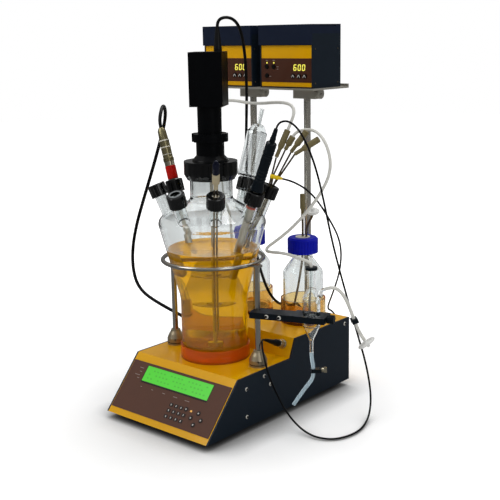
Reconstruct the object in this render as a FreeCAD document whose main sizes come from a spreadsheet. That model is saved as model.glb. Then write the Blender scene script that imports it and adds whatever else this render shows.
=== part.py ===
import FreeCAD, Part
import Sketcher
import math
import os
import re

# Bench bioreactor. Millimetres, +Z up, the front faces -Y.
# The origin is at bench height, midway between the four foot recesses.

os.makedirs("parts", exist_ok=True)
doc = FreeCAD.newDocument("bench_bioreactor")

SIZES = {
    # control base
    "base_width": 230.0, "base_depth": 374.0, "foot_height": 10.5, "foot_radius": 12.0,
    "foot_inset_x": 25.0, "foot_inset_y": 37.0, "recess_radius": 4.5, "recess_depth": 6.0,
    "slope_depth": 74.0, "low_deck": 95.0, "riser_front": 18.2, "riser_back": 31.2,
    "high_deck": 126.5, "cover_sheet": 2.0, "side_sheet": 3.0, "fit_gap": 0.3,
    "screw_radius": 1.6, "screw_head": 3.4, "screw_rise": 1.4, "screw_length": 9.0,
    # control face on the slope, measured along it from its lower edge
    "panel_low": 11.0, "panel_high": 98.0, "panel_sheet": 1.0, "panel_gap": 1.5,
    "lcd_width": 150.0, "lcd_height": 28.0, "lcd_middle": 77.5, "lcd_depth": 9.0,
    "board_width": 190.0, "board_height": 70.0, "board_sheet": 1.6,
    # vessel, its seat and the ring around it
    "vessel_y": -40.5, "lower_radius": 55.6, "vessel_bottom": 98.0, "lower_top": 197.0,
    "shoulder_radius": 90.5, "shoulder_level": 329.0, "dome_foot": 361.5, "neck_radius": 34.7,
    "rim_level": 416.5, "glass_wall": 3.0, "bottom_round": 24.0, "shoulder_round": 15.0,
    "waist_round": 70.0, "throat_round": 8.0,
    "seat_wall": 2.4, "seat_floor": 3.0, "seat_height": 22.0,
    "post_x": 94.5, "post_radius": 4.75, "post_foot_radius": 14.8, "post_foot_top": 7.5,
    "post_foot_height": 26.5, "ring_level": 262.0, "ring_radius": 83.0, "ring_rod": 3.5,
    "lug_length": 21.0, "lug_width": 10.0, "lug_sheet": 4.0,
    # side ports
    "port_circle": 79.8, "port_level": 340.6, "port_tilt": 23.0, "port_radius": 10.0,
    "port_length": 39.0, "port_bore": 8.5, "cap_low": 24.0, "cap_height": 21.0,
    "cap_radius": 14.7, "cap_wall": 3.2, "cap_top": 3.5, "cap_bore": 8.5, "cap_grooves": 16.0,
    "seal_sheet": 2.2, "seal_gap": 0.15, "line_radius": 1.5, "feed_gap": 7.2,
    # drive
    "main_cap_low": 393.5, "main_cap_top": 423.5, "main_cap_radius": 43.6, "main_cap_wall": 5.0,
    "main_cap_bore": 24.0, "main_cap_grooves": 22.0, "tube_radius": 22.8, "flare_radius": 29.8,
    "flare_height": 6.0, "collar_low": 454.5, "collar_top": 467.5, "collar_radius": 29.5,
    "collar_lobes": 6.0, "spigot_radius": 19.5, "housing_low": 511.0, "housing_top": 595.7,
    "housing_width": 53.6, "housing_turn": 32.0, "housing_wall": 3.0, "boot_height": 37.0,
    "shaft_radius": 2.5, "shaft_low": 114.0, "shaft_top": 520.0, "disc_radius": 27.0,
    "disc_sheet": 2.0, "upper_disc": 240.0, "lower_disc": 188.0, "hub_radius": 9.5, "hub_height": 8.0,
    # probes and the condenser
    "probe_radius": 6.0, "probe_end": -112.0, "handle_radius": 8.6, "probe_collar": 9.0,
    "condenser_radius": 17.5, "condenser_wall": 1.6,
    # reagent bottles
    "bottle_x": 60.0, "bottle_y": 124.0, "bottle_radius": 35.0, "bottle_wall": 2.5,
    "bottle_height": 143.0, "bottle_shoulder": 86.0, "bottle_neck": 17.0, "bottle_finish": 20.0,
    "finish_height": 24.0, "bottle_cap_radius": 26.6, "bottle_cap_height": 27.0,
    "bottle_cap_wall": 3.0, "bottle_cap_bore": 13.0, "bottle_grooves": 30.0,
    "cup_gap": 1.5, "cup_wall": 3.0, "cup_floor": 4.0, "cup_height": 42.0,
    # stand and pumps
    "rod_radius": 6.0, "rod_y": 171.0, "rod_middle": -26.5, "rod_spread": 61.5,
    "shelf_left": -158.0, "shelf_right": 98.0, "shelf_front": 106.0, "shelf_back": 206.0,
    "shelf_level": 529.0, "shelf_sheet": 3.0, "clamp_width": 48.0, "clamp_depth": 18.0,
    "clamp_height": 18.0,
    "pump_width": 112.0, "pump_depth": 79.0, "pump_height": 104.0, "pump_front": 111.0,
    "pump_left_x": -94.0, "pump_right_x": 36.0, "hood_skirt": 33.0, "hood_side": 15.0,
    "hood_sheet": 2.5, "hood_lip": 4.0, "face_sheet": 2.0, "face_gold_low": 49.0,
    "face_panel_low": 9.5, "key_radius": 3.6, "key_rise": 1.6, "key_pitch": 12.0,
    # sampler
    "arm_turn": 19.5, "arm_level": 184.5, "arm_height": 10.0, "arm_width": 36.0,
    "arm_tail": 7.5, "arm_reach": 117.0, "sampler_reach": 91.0, "sampler_radius": 14.0,
    "knob_radius": 7.0, "knob_length": 11.0,
}

# each side port: its angle around the vessel, and how much its lean differs from port_tilt
PORTS = {
    "cap_front": (317.0, 0.0), "cap_front_left": (278.0, 0.0), "cap_left": (204.0, 0.0),
    "cap_ph": (176.0, -5.0), "cap_condenser": (94.5, 0.0), "cap_quad": (38.0, 0.0),
    "cap_do": (359.0, 0.0),
}

sheet = doc.addObject("Spreadsheet::Sheet", "Sizes")
for row, (alias, number) in enumerate(SIZES.items(), 1):
    sheet.set("A%d" % row, alias)
    sheet.set("B%d" % row, str(number))
    sheet.setAlias("B%d" % row, alias)
doc.recompute()

subparts = []


def size(text):
    """An expression in which each named size is read from the sheet."""
    return re.sub(r"[a-z]+_[a-z_]+", lambda word: "Sizes." + word.group(0), text)


def read(alias):
    """A size as a plain number, for shapes that Part's own functions make."""
    return float(sheet.get(alias))


def bind(thing, **texts):
    """Tie properties of an object to expressions of the sheet's sizes."""
    for path, text in texts.items():
        thing.setExpression(path, size(text))
    return thing


def place(thing, at=("0", "0", "0"), turn=("0", "0", "0")):
    """Bind a Placement: a position, and a yaw, pitch and roll in degrees."""
    text = "placement(vector(%s; %s; %s); rotation(%s; %s; %s))" % (*at, *turn)
    thing.setExpression("Placement", size(text))
    return thing


def keep(thing, label):
    """Give a finished sub-part its name and list it for export."""
    thing.Label = label
    subparts.append(thing)
    return thing


def origin_item(body, role):
    """One of a body's own origin planes or axes, found by its role."""
    return next(item for item in body.Origin.OriginFeatures if item.Role == role)


def outline(body, plane, points):
    """A closed sketch of straight lines whose every corner is bound to the sheet."""
    sketch = body.newObject("Sketcher::SketchObject", body.Name + "_outline")
    sketch.AttachmentSupport = (origin_item(body, plane), [""])
    sketch.MapMode = "FlatFace"
    count = len(points)
    start = 20.0
    step = 2.0 * math.pi / count
    ring = [FreeCAD.Vector(start + 10.0 * math.cos(step * i), start + 10.0 * math.sin(step * i), 0.0)
            for i in range(count)]
    for i in range(count):
        sketch.addGeometry(Part.LineSegment(ring[i], ring[(i + 1) % count]), False)
    for i in range(count):
        sketch.addConstraint(Sketcher.Constraint("Coincident", i, 2, (i + 1) % count, 1))
    for i, corner in enumerate(points):
        for kind, text in zip(("DistanceX", "DistanceY"), corner):
            index = sketch.addConstraint(Sketcher.Constraint(kind, -1, 1, i, 1, start))
            sketch.setExpression("Constraints[%d]" % index, size(text))
    return sketch


def turned(name, points, at=("0", "0", "0"), turn=("0", "0", "0")):
    """A turned piece: an outline of (radius, height) corners revolved about its own Z."""
    body = doc.addObject("PartDesign::Body", name)
    lathe = body.newObject("PartDesign::Revolution", name + "_turning")
    lathe.Profile = outline(body, "XZ_Plane", points)
    lathe.ReferenceAxis = (lathe.Profile[0], ["V_Axis"])
    lathe.Angle = 360.0
    return place(body, at, turn)


def extruded(name, points, length, plane="YZ_Plane", at=("0", "0", "0"), turn=("0", "0", "0")):
    """A piece of constant section: an outline padded both ways from its plane."""
    body = doc.addObject("PartDesign::Body", name)
    pad = body.newObject("PartDesign::Pad", name + "_pad")
    pad.Profile = outline(body, plane, points)
    pad.Midplane = True
    bind(pad, Length=length)
    return place(body, at, turn)


def circles_at(shape, radius, level):
    """Names of the round edges of one radius at one height of a body's own Z."""
    names = []
    for number, edge in enumerate(shape.Edges, 1):
        if isinstance(edge.Curve, Part.Circle):
            same_radius = abs(edge.Curve.Radius - radius) < 0.01
            same_level = abs(edge.Curve.Center.z - level) < 0.01
            if same_radius and same_level:
                names.append("Edge%d" % number)
    return names


def rounded(body, radius, level, round_text):
    """Round the circular edge of a body that lies at a radius and a height."""
    doc.recompute()
    base = body.Tip
    fillet = body.newObject("PartDesign::Fillet", body.Name + "_round")
    fillet.Base = (base, circles_at(base.Shape, radius, level))
    bind(fillet, Radius=round_text)
    body.Tip = fillet
    return body


def bevelled(body, radius, level, size_text):
    """Chamfer the circular edge of a body that lies at a radius and a height."""
    doc.recompute()
    base = body.Tip
    bevel = body.newObject("PartDesign::Chamfer", body.Name + "_bevel")
    bevel.Base = (base, circles_at(base.Shape, radius, level))
    bind(bevel, Size=size_text)
    body.Tip = bevel
    return body


def grooved(body, radius_text, groove, low_text, height_text, count_text):
    """Cut a ring of upright finger grooves into a turned body."""
    tool = body.newObject("PartDesign::SubtractiveCylinder", body.Name + "_groove")
    bind(tool, Radius=groove, Height=height_text)
    place(tool, (radius_text, "0", low_text))
    doc.recompute()
    pattern = body.newObject("PartDesign::PolarPattern", body.Name + "_grooves")
    pattern.Originals = [tool]
    pattern.Axis = (origin_item(body, "Z_Axis"), [""])
    pattern.Angle = 360.0
    bind(pattern, Occurrences=count_text)
    body.Tip = pattern
    return body


def cylinder(name, radius, height, at=("0", "0", "0"), turn=("0", "0", "0")):
    """A bound cylinder, to be fused or cut."""
    thing = doc.addObject("Part::Cylinder", name)
    return place(bind(thing, Radius=radius, Height=height), at, turn)


def cone(name, low_radius, top_radius, height, at=("0", "0", "0"), turn=("0", "0", "0")):
    """A bound cone, to be fused or cut."""
    thing = doc.addObject("Part::Cone", name)
    return place(bind(thing, Radius1=low_radius, Radius2=top_radius, Height=height), at, turn)


def block(name, length, width, height, at=("0", "0", "0"), turn=("0", "0", "0")):
    """A bound box whose corner is placed."""
    thing = doc.addObject("Part::Box", name)
    return place(bind(thing, Length=length, Width=width, Height=height), at, turn)


def fused(name, things):
    """Several solids made into one."""
    thing = doc.addObject("Part::MultiFuse", name)
    thing.Shapes = things
    return thing


def cut(name, base, tools):
    """A solid with one or more tools taken from it."""
    thing = doc.addObject("Part::Cut", name)
    thing.Base = base
    thing.Tool = tools[0] if len(tools) == 1 else fused(name + "_tools", tools)
    return thing


def grouped(name, things):
    """Separate solids that share one node."""
    thing = doc.addObject("Part::Compound", name)
    thing.Links = things
    return thing


def port_seat(name, offset="0"):
    """Position and turn of a side port's own frame, whose Z runs out along the neck."""
    angle, lean = PORTS[name]
    tilt = "(port_tilt + (%s))" % lean
    reach = "(port_circle + (%s) * sin(%s))" % (offset, tilt)
    at = ("%s * cos(%s)" % (reach, angle), "vessel_y + %s * sin(%s)" % (reach, angle),
          "port_level + (%s) * cos(%s)" % (offset, tilt))
    return at, (str(angle), tilt, "0")


def port_point(name, along, side=0.0, inward=0.0):
    """A point in a side port's frame, as numbers: along its axis, round and in from it."""
    angle, lean = PORTS[name]
    tilt = math.radians(read("port_tilt") + lean)
    around = math.radians(angle)
    outward = FreeCAD.Vector(math.cos(around), math.sin(around), 0.0)
    sideways = FreeCAD.Vector(-math.sin(around), math.cos(around), 0.0)
    up = FreeCAD.Vector(0.0, 0.0, 1.0)
    axis = outward * math.sin(tilt) + up * math.cos(tilt)
    across = up * math.sin(tilt) - outward * math.cos(tilt)
    base = FreeCAD.Vector(0.0, read("vessel_y"), read("port_level")) + outward * read("port_circle")
    return base + axis * along + sideways * side + across * inward


def path_wire(name, points, report, bend):
    """Straight runs joined by tangent arcs, each as large as its runs or the bend allow."""
    spots = [FreeCAD.Vector(*spot) for spot in points]
    edges = []
    radii = []
    start = spots[0]
    for before, corner, after in zip(spots, spots[1:], spots[2:]):
        back = (before - corner)
        ahead = (after - corner)
        shorter = min(back.Length, ahead.Length)
        back.normalize()
        ahead.normalize()
        half_turn = (math.pi - back.getAngle(ahead)) / 2.0
        reach = min(0.45 * shorter, bend)
        radii.append(reach / math.tan(half_turn))
        enter = corner + back * reach
        leave = corner + ahead * reach
        bisector = back + ahead
        bisector.normalize()
        sagitta = radii[-1] / math.cos(half_turn) - radii[-1]
        middle = corner + bisector * sagitta
        edges.append(Part.LineSegment(start, enter).toShape())
        edges.append(Part.Arc(enter, middle, leave).toShape())
        start = leave
    edges.append(Part.LineSegment(start, spots[-1]).toShape())
    if report:
        print("%s radii %s" % (name, [round(radius, 1) for radius in radii]))
    return Part.Wire(edges)


def tube_solid(name, points, radius, bore=0.0, report=True, bend=1000.0):
    """A round bar or tube along a path of runs and tangent arcs."""
    wire = path_wire(name, points, report, bend)
    start = FreeCAD.Vector(*points[0])
    heading = FreeCAD.Vector(*points[1]) - start
    solids = []
    for rim in (radius, bore):
        if rim > 0.0:
            profile = Part.Wire(Part.makeCircle(rim, start, heading))
            solids.append(wire.makePipeShell([profile], True, False))
    solid = solids[0] if len(solids) == 1 else solids[0].cut(solids[1])
    section = math.pi * (radius ** 2 - bore ** 2)
    if abs(solid.Volume / (section * wire.Length) - 1.0) > 0.01:
        raise ValueError("%s has the wrong volume" % name)
    return solid


def feature(name, shape):
    """A sub-part whose shape Part's own functions made."""
    thing = doc.addObject("Part::Feature", name)
    thing.Shape = shape
    return thing


def along(start, end, radius, top_radius=None):
    """A short straight bar or taper between two points."""
    foot = FreeCAD.Vector(*start)
    heading = FreeCAD.Vector(*end) - foot
    if top_radius is None:
        return Part.makeCylinder(radius, heading.Length, foot, heading)
    return Part.makeCone(radius, top_radius, heading.Length, foot, heading)


# ---------------------------------------------------------------- control base

FRONT = "(0 - base_depth / 2)"
BACK = "(base_depth / 2)"
SLOPE_TURN = "atan((low_deck - foot_height) / slope_depth)"
RISER_TURN = "atan((high_deck - low_deck) / (riser_back - riser_front))"
BODY_OUTLINE = [
    (FRONT, "foot_height"), (BACK, "foot_height"), (BACK, "high_deck"), ("riser_back", "high_deck"),
    ("riser_front", "low_deck"), (FRONT + " + slope_depth", "low_deck"),
]


def slope_place(across, up, out):
    """Position and turn on the sloping face: across it, up it and out of it."""
    at = (across, "%s + (%s) * cos(%s) - (%s) * sin(%s)" % (FRONT, up, SLOPE_TURN, out, SLOPE_TURN),
          "foot_height + (%s) * sin(%s) + (%s) * cos(%s)" % (up, SLOPE_TURN, out, SLOPE_TURN))
    return at, ("0", "0", SLOPE_TURN)


def socket_place(kind, across, level):
    """Position and turn of a round socket on the riser or on the rear wall."""
    if kind == "riser":
        share = "((%s - low_deck) / (high_deck - low_deck))" % level
        at = (across, "riser_front + %s * (riser_back - riser_front)" % share, level)
        return at, ("-90", RISER_TURN, "0")
    return (across, BACK, level), ("90", "90", "0")


INLET_X = "-58"
SOCKETS = {
    "do": ("riser", "92", "113.5"), "ph": ("riser", "-60", "112"),
    "drive": ("rear", "-22", "58"), "warm": ("rear", "14", "62"),
}


def make_base():
    """The folded cover, the two side plates, the base plate, the feet and the screws."""
    shell = extruded("cover_shell", BODY_OUTLINE, "base_width - 2 * side_sheet")
    doc.recompute()
    pad = shell.Tip
    open_faces = []
    for number, face in enumerate(pad.Shape.Faces, 1):
        normal = face.normalAt(0.5, 0.5)
        if abs(normal.x) > 0.9 or normal.z < -0.9:
            open_faces.append("Face%d" % number)
    hollow = shell.newObject("PartDesign::Thickness", "cover_hollow")
    hollow.Base = (pad, open_faces)
    hollow.Reversed = True
    bind(hollow, Value="cover_sheet")
    shell.Tip = hollow
    tools = []
    at, turn = slope_place("0 - lcd_width / 2", "lcd_middle - lcd_height / 2", "-10")
    tools.append(block("window_tool", "lcd_width", "lcd_height", "20", at, turn))
    for side, sign in (("left", "-"), ("right", "+")):
        at = ("rod_middle %s rod_spread" % sign, "rod_y", "high_deck - 10")
        tools.append(cylinder("rod_hole_" + side, "rod_radius + fit_gap", "20", at))
    for name, (kind, across, level) in SOCKETS.items():
        tools.append(cylinder("hole_" + name, "6.2", "20", *socket_place(kind, across, level)))
        tools[-1] = place_back(tools[-1], kind, across, level)
    at = (INLET_X + " - 14", BACK + " - 10", "60")
    tools.append(block("inlet_hole", "28", "20", "21", at))
    keep(cut("cover", shell, tools), "base_cover")

    plates = []
    for side, sign in (("left", -1), ("right", 1)):
        middle = "%d * (base_width / 2 - side_sheet / 2)" % sign
        plate = extruded("plate_" + side, BODY_OUTLINE, "side_sheet", at=(middle, "0", "0"))
        holes = [cylinder("plate_hole_%s_%d" % (side, index), "screw_radius + 0.1", "12",
                          ("%d * base_width / 2 - 6" % sign, y, z), ("0", "90", "0"))
                 for index, (y, z) in enumerate(SIDE_SCREWS)]
        plates.append(cut("side_" + side, plate, holes))
    keep(grouped("side_pair", plates), "side_plates")

    floor = block("floor", "base_width - 2 * side_sheet", "base_depth - 2 * cover_sheet - 6",
                  "cover_sheet", ("side_sheet - base_width / 2", FRONT + " + cover_sheet + 3", "foot_height"))
    floor_holes = [cylinder("floor_hole_%d" % index, "screw_radius + 0.1", "10", (x, y, "foot_height - 3"))
                   for index, (x, y) in enumerate(FEET)]
    keep(cut("floor_plate", floor, floor_holes), "base_plate")

    feet = []
    for index, (x, y) in enumerate(FEET):
        foot = turned("foot_%d" % index, [
            ("recess_radius", "0"), ("foot_radius - 1.5", "0"), ("foot_radius", "1.5"),
            ("foot_radius - 1", "foot_height"), ("screw_radius + 0.1", "foot_height"),
            ("screw_radius + 0.1", "recess_depth"), ("recess_radius", "recess_depth")], (x, y, "0"))
        feet.append(foot)
    keep(grouped("feet", feet), "rubber_feet")


def place_back(tool, kind, across, level):
    """Move a hole's cutter back along its own axis so that it passes the sheet both ways."""
    at, turn = socket_place(kind, across, level)
    if kind == "riser":
        drop = ("0", "10 * sin(%s)" % RISER_TURN, "-10 * cos(%s)" % RISER_TURN)
    else:
        drop = ("0", "-10", "0")
    return place(tool, tuple("%s + %s" % pair for pair in zip(at, drop)), turn)


SIDE_SCREWS = [("-94", "74.6"), ("-94", "28"), ("-50", "84"), ("-35", "66"), ("173", "117.5")]
ARM_SCREWS = ("22", "43")
FEET = [("%d * (base_width / 2 - foot_inset_x)" % sx, "%d * (base_depth / 2 - foot_inset_y)" % sy)
        for sx in (-1, 1) for sy in (-1, 1)]


def make_screw(name, at, turn):
    """A button-head screw: a domed head with a hexagon recess and a plain shank."""
    body = turned(name, [
        ("0", "0 - screw_length"), ("screw_radius", "0 - screw_length"), ("screw_radius", "0"),
        ("screw_head", "0"), ("screw_head - 0.3", "screw_rise * 0.6"),
        ("screw_head - 1.2", "screw_rise"), ("1.1", "screw_rise"), ("1.1", "0.4"), ("0", "0.4")],
        at, turn)
    return body


def make_screws():
    """Ten case screws, and the two that clamp the sampler's arm to its post."""
    screws = []
    for sign, side in ((-1, "left"), (1, "right")):
        for index, (y, z) in enumerate(SIDE_SCREWS):
            at = ("%d * base_width / 2" % sign, y, z)
            screws.append(make_screw("screw_%s_%d" % (side, index), at, ("0", "%d" % (90 * sign), "0")))
    for index, reach in enumerate(ARM_SCREWS):
        at = arm_place(reach, "0 - arm_width / 2", "0")[0]
        screws.append(make_screw("arm_screw_%d" % index, at, ("arm_turn - 90", "90", "0")))
    keep(grouped("screws", screws), "case_screws")


def make_controls():
    """The printed film on the slope, the display behind its window and the board."""
    film = block("film", "base_width - 2 * side_sheet - 2 * panel_gap", "panel_high - panel_low",
                 "panel_sheet", *slope_place("side_sheet + panel_gap - base_width / 2", "panel_low", "0"))
    at, turn = slope_place("0 - lcd_width / 2", "lcd_middle - lcd_height / 2", "-5")
    window = block("film_window", "lcd_width", "lcd_height", "10", at, turn)
    keep(cut("film_sheet", film, [window]), "control_overlay")

    at, turn = slope_place("fit_gap - lcd_width / 2", "lcd_middle - lcd_height / 2 + fit_gap",
                           "0 - lcd_depth")
    glass = block("lcd_block", "lcd_width - 2 * fit_gap", "lcd_height - 2 * fit_gap", "lcd_depth - 0.6",
                  at, turn)
    at, turn = slope_place("2 - lcd_width / 2", "lcd_middle - lcd_height / 2 + 2", "-1.4")
    view = block("lcd_view", "lcd_width - 4", "lcd_height - 4", "4", at, turn)
    unit = cut("lcd_unit", glass, [view])

    at, turn = slope_place("0 - board_width / 2", "16", "0 - lcd_depth - board_sheet")
    board = block("board", "board_width", "board_height", "board_sheet", at, turn)
    pillars = []
    for side in (-1, 1):
        for index, up in enumerate(("22", "80")):
            at, turn = slope_place("%d * (board_width / 2 - 6)" % side, up, "0 - lcd_depth")
            pillars.append(cylinder("pillar_%d_%d" % (side + 1, index), "3", "lcd_depth - cover_sheet",
                                    at, turn))
    keep(grouped("display_set", [unit, fused("board_unit", [board] + pillars)]), "lcd_display")


def make_sockets():
    """Round sockets on the riser and the rear wall, and the mains inlet."""
    pieces = []
    for name, (kind, across, level) in SOCKETS.items():
        at, turn = socket_place(kind, across, level)
        pieces.append(turned("socket_" + name, [
            ("4.2", "-12"), ("6", "-12"), ("6", "0"), ("8.5", "0"), ("8.5", "1.6"), ("7.4", "2.4"),
            ("4.2", "2.4")], at, turn))
    body = block("inlet_body", "27.4", "24", "20.4", (INLET_X + " - 13.7", BACK + " - 23", "60.3"))
    flange = block("inlet_flange", "34", "2", "28", (INLET_X + " - 17", BACK, "56.5"))
    mouth = block("inlet_mouth", "22", "16", "14", (INLET_X + " - 11", BACK + " - 12", "63.5"))
    pieces.append(cut("mains_inlet", fused("inlet_block", [body, flange]), [mouth]))
    keep(grouped("socket_set", pieces), "sockets")


# ---------------------------------------------------------------- vessel support

def make_support():
    """The seat that holds the vessel's foot, and the ring on its two footed posts."""
    inner = "lower_radius + fit_gap"
    outer = inner + " + seat_wall"
    seat = turned("seat", [
        ("0", "0"), (outer, "0"), (outer, "seat_height"), (inner, "seat_height"),
        (inner, "seat_floor"), ("0", "seat_floor")], ("0", "vessel_y", "low_deck"))
    keep(seat, "vessel_seat")

    hoop = doc.addObject("Part::Torus", "hoop")
    bind(hoop, Radius1="ring_radius", Radius2="ring_rod")
    place(hoop, ("0", "vessel_y", "ring_level"))
    posts = [cylinder("post_" + side, "post_radius", "ring_level - low_deck",
                      (sign + "post_x", "vessel_y", "low_deck"))
             for side, sign in (("left", "0 - "), ("right", ""))]
    lugs = [block("lug_" + side, "lug_length", "lug_width", "lug_sheet",
                  (start, "vessel_y - lug_width / 2", "ring_level - lug_sheet / 2"))
            for side, start in (("left", "0 - ring_radius + ring_rod / 2 - lug_length"),
                                ("right", "ring_radius - ring_rod / 2"))]
    keep(fused("ring_and_posts", [hoop] + lugs + posts), "vessel_ring")

    feet = []
    for side, sign in (("left", "0 - "), ("right", "")):
        foot = turned("post_foot_" + side, [
            ("post_radius + 0.1", "0"), ("post_foot_radius", "0"), ("post_foot_radius", "3"),
            ("post_foot_radius - 0.8", "3.4"), ("post_foot_radius - 0.8", "4.2"),
            ("post_foot_radius", "4.6"), ("post_foot_radius", "11"), ("post_foot_radius - 3", "18"),
            ("post_foot_top + 1", "post_foot_height - 3"), ("post_foot_top", "post_foot_height"),
            ("post_radius + 0.1", "post_foot_height")],
            (sign + "post_x", "vessel_y", "low_deck"))
        at = (sign + "post_x", "vessel_y", "low_deck + 10")
        grub = cylinder("grub_hole_" + side, "1.6", "20", at, ("-49", "90", "0"))
        feet.append(cut("drilled_foot_" + side, foot, [grub]))
    keep(grouped("both_feet", feet), "post_feet")


# ---------------------------------------------------------------- glass vessel

def vessel_profile(inset):
    """Corners of the vessel's outer side, or of its inner side when inset by the wall."""
    return [
        ("0", "vessel_bottom + %s" % inset),
        ("lower_radius - %s" % inset, "vessel_bottom + %s" % inset),
        ("lower_radius - %s" % inset, "lower_top"),
        ("shoulder_radius - %s" % inset, "shoulder_level"),
        ("neck_radius - %s" % inset, "dome_foot - %s" % inset),
        ("neck_radius - %s" % inset, "rim_level"),
        ("0", "rim_level"),
    ]


def vessel_blank(name, wall, inset):
    """A solid blank of the vessel's outer or inner form, with its corners rounded."""
    body = turned(name, vessel_profile(inset), ("0", "vessel_y", "0"))
    lower = read("lower_radius") - wall
    rounded(body, lower, read("vessel_bottom") + wall, "bottom_round - %s" % inset)
    rounded(body, lower, read("lower_top"), "waist_round")
    rounded(body, read("shoulder_radius") - wall, read("shoulder_level"),
            "shoulder_round - %s" % inset)
    rounded(body, read("neck_radius") - wall, read("dome_foot") - wall, "throat_round")
    return body


def make_vessel():
    """The blown glass vessel with a wide neck and seven leaning side necks."""
    outer = vessel_blank("vessel_outside", 0.0, "0")
    inner = vessel_blank("vessel_inside", read("glass_wall"), "glass_wall")
    top = cylinder("vessel_mouth", "neck_radius - glass_wall", "10", ("0", "vessel_y", "rim_level - 5"))
    necks = []
    bores = []
    for name in PORTS:
        at, turn = port_seat(name, "-6")
        necks.append(cylinder("neck_" + name, "port_radius", "port_length + 6", at, turn))
        at, turn = port_seat(name, "cap_low + 3")
        necks.append(cylinder("finish_" + name, "cap_radius - cap_wall - fit_gap",
                              "port_length - cap_low - 3", at, turn))
        at, turn = port_seat(name, "-16")
        bores.append(cylinder("bore_" + name, "port_bore", "port_length + 30", at, turn))
    blank = fused("vessel_blank", [outer] + necks)
    keep(cut("vessel", blank, [inner, top] + bores), "glass_vessel")


def make_port_caps():
    """Seven ribbed screw caps, one on each side neck."""
    for name in PORTS:
        at, turn = port_seat(name, "cap_low")
        inside = "cap_radius - cap_wall"
        bore = CAP_BORES.get(name, "0")
        points = [("cap_radius", "0"), ("cap_radius", "cap_height"), (bore, "cap_height"),
                  (bore, "cap_height - cap_top"), (inside, "cap_height - cap_top"), (inside, "0")]
        if bore == "0":
            points = [("cap_radius", "0"), ("cap_radius", "cap_height"), ("0", "cap_height"),
                      ("0", "cap_height - cap_top"), (inside, "cap_height - cap_top"), (inside, "0")]
        body = turned(name, points, at, turn)
        bevelled(body, read("cap_radius"), read("cap_height"), "1.2")
        grooved(body, "cap_radius + 0.5", "1.3", "-1", "cap_height - 3", "cap_grooves")
        keep(body, name)


CAP_BORES = {
    "cap_front": "6.4", "cap_front_left": "cap_bore", "cap_ph": "probe_radius + fit_gap",
    "cap_condenser": "7.3", "cap_quad": "cap_bore", "cap_do": "probe_radius + fit_gap",
}


# ---------------------------------------------------------------- drive

def make_drive():
    """The main cap, the bearing tube through it, the lock ring, the drive unit and the stirrer."""
    axis = ("0", "vessel_y", "0")
    inside = "neck_radius + fit_gap + 0.2"
    cap = turned("main_cap", [
        (inside, "main_cap_low"), ("main_cap_radius - 5", "main_cap_low"),
        ("main_cap_radius", "main_cap_low + 9"), ("main_cap_radius", "main_cap_top"),
        ("main_cap_bore", "main_cap_top"), ("main_cap_bore", "main_cap_top - main_cap_wall"),
        (inside, "main_cap_top - main_cap_wall")], axis)
    grooved(cap, "main_cap_radius + 1.2", "2.4", "main_cap_low - 1",
            "main_cap_top - main_cap_low - 2", "main_cap_grooves")
    keep(cap, "main_cap")

    plug = "neck_radius - glass_wall - fit_gap"
    seat = "main_cap_top - main_cap_wall - fit_gap"
    tube = turned("bearing_tube", [
        ("shaft_radius + 0.5", "rim_level - 22"), (plug, "rim_level - 22"), (plug, "rim_level"),
        ("neck_radius", "rim_level"), ("neck_radius", seat),
        ("tube_radius", seat), ("tube_radius", "main_cap_top + fit_gap"),
        ("flare_radius", "main_cap_top + fit_gap"), ("flare_radius - 1", "main_cap_top + 2.5"),
        ("tube_radius", "main_cap_top + flare_height + 3"), ("tube_radius", "collar_low + 5"),
        ("spigot_radius + fit_gap", "collar_low + 5"),
        ("spigot_radius + fit_gap", "collar_low - 12"), ("shaft_radius + 0.5", "collar_low - 12")],
        axis)
    keep(tube, "bearing_tube")

    ring = turned("ring_blank", [
        ("tube_radius + fit_gap", "collar_low"), ("collar_radius", "collar_low"),
        ("collar_radius", "collar_top"), ("spigot_radius + fit_gap", "collar_top"),
        ("spigot_radius + fit_gap", "collar_low + 5 + fit_gap"),
        ("tube_radius + fit_gap", "collar_low + 5 + fit_gap")], axis)
    grooved(ring, "collar_radius + 6", "8.5", "collar_low - 1", "collar_top - collar_low + 2",
            "collar_lobes")
    keep(ring, "lock_ring")

    half = "housing_width / 2"
    case = extruded("housing_case", [
        ("0 - " + half, "0 - " + half), (half, "0 - " + half), (half, half), ("0 - " + half, half)],
        "housing_top - housing_low", "XY_Plane",
        ("0", "vessel_y", "(housing_low + housing_top) / 2"), ("housing_turn", "0", "0"))
    hollow_width = "housing_width - 2 * housing_wall"
    hollow = cylinder("housing_hollow", "(%s) / 2" % hollow_width,
                      "housing_top - housing_low - 2 * housing_wall",
                      ("0", "vessel_y", "housing_low + housing_wall"))
    spigot = cylinder("housing_spigot", "spigot_radius", "housing_low - collar_low + 11.7",
                      ("0", "vessel_y", "collar_low - 11.7"))
    passage = cylinder("housing_passage", "shaft_radius + 0.5", "housing_low - collar_low + 25",
                       ("0", "vessel_y", "collar_low - 20"))
    keep(cut("housing", fused("housing_solid", [case, spigot]), [hollow, passage]), "drive_housing")

    boot = turned("drive_boot", [
        ("0", "0"), ("6.6", "0"), ("6.6", "4"), ("2.9", "boot_height"), ("0", "boot_height")],
        (str(BOOT[0]), str(BOOT[1]), "housing_top"))
    keep(boot, "cable_boot")


BOOT = (12.0, -30.0)


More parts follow.
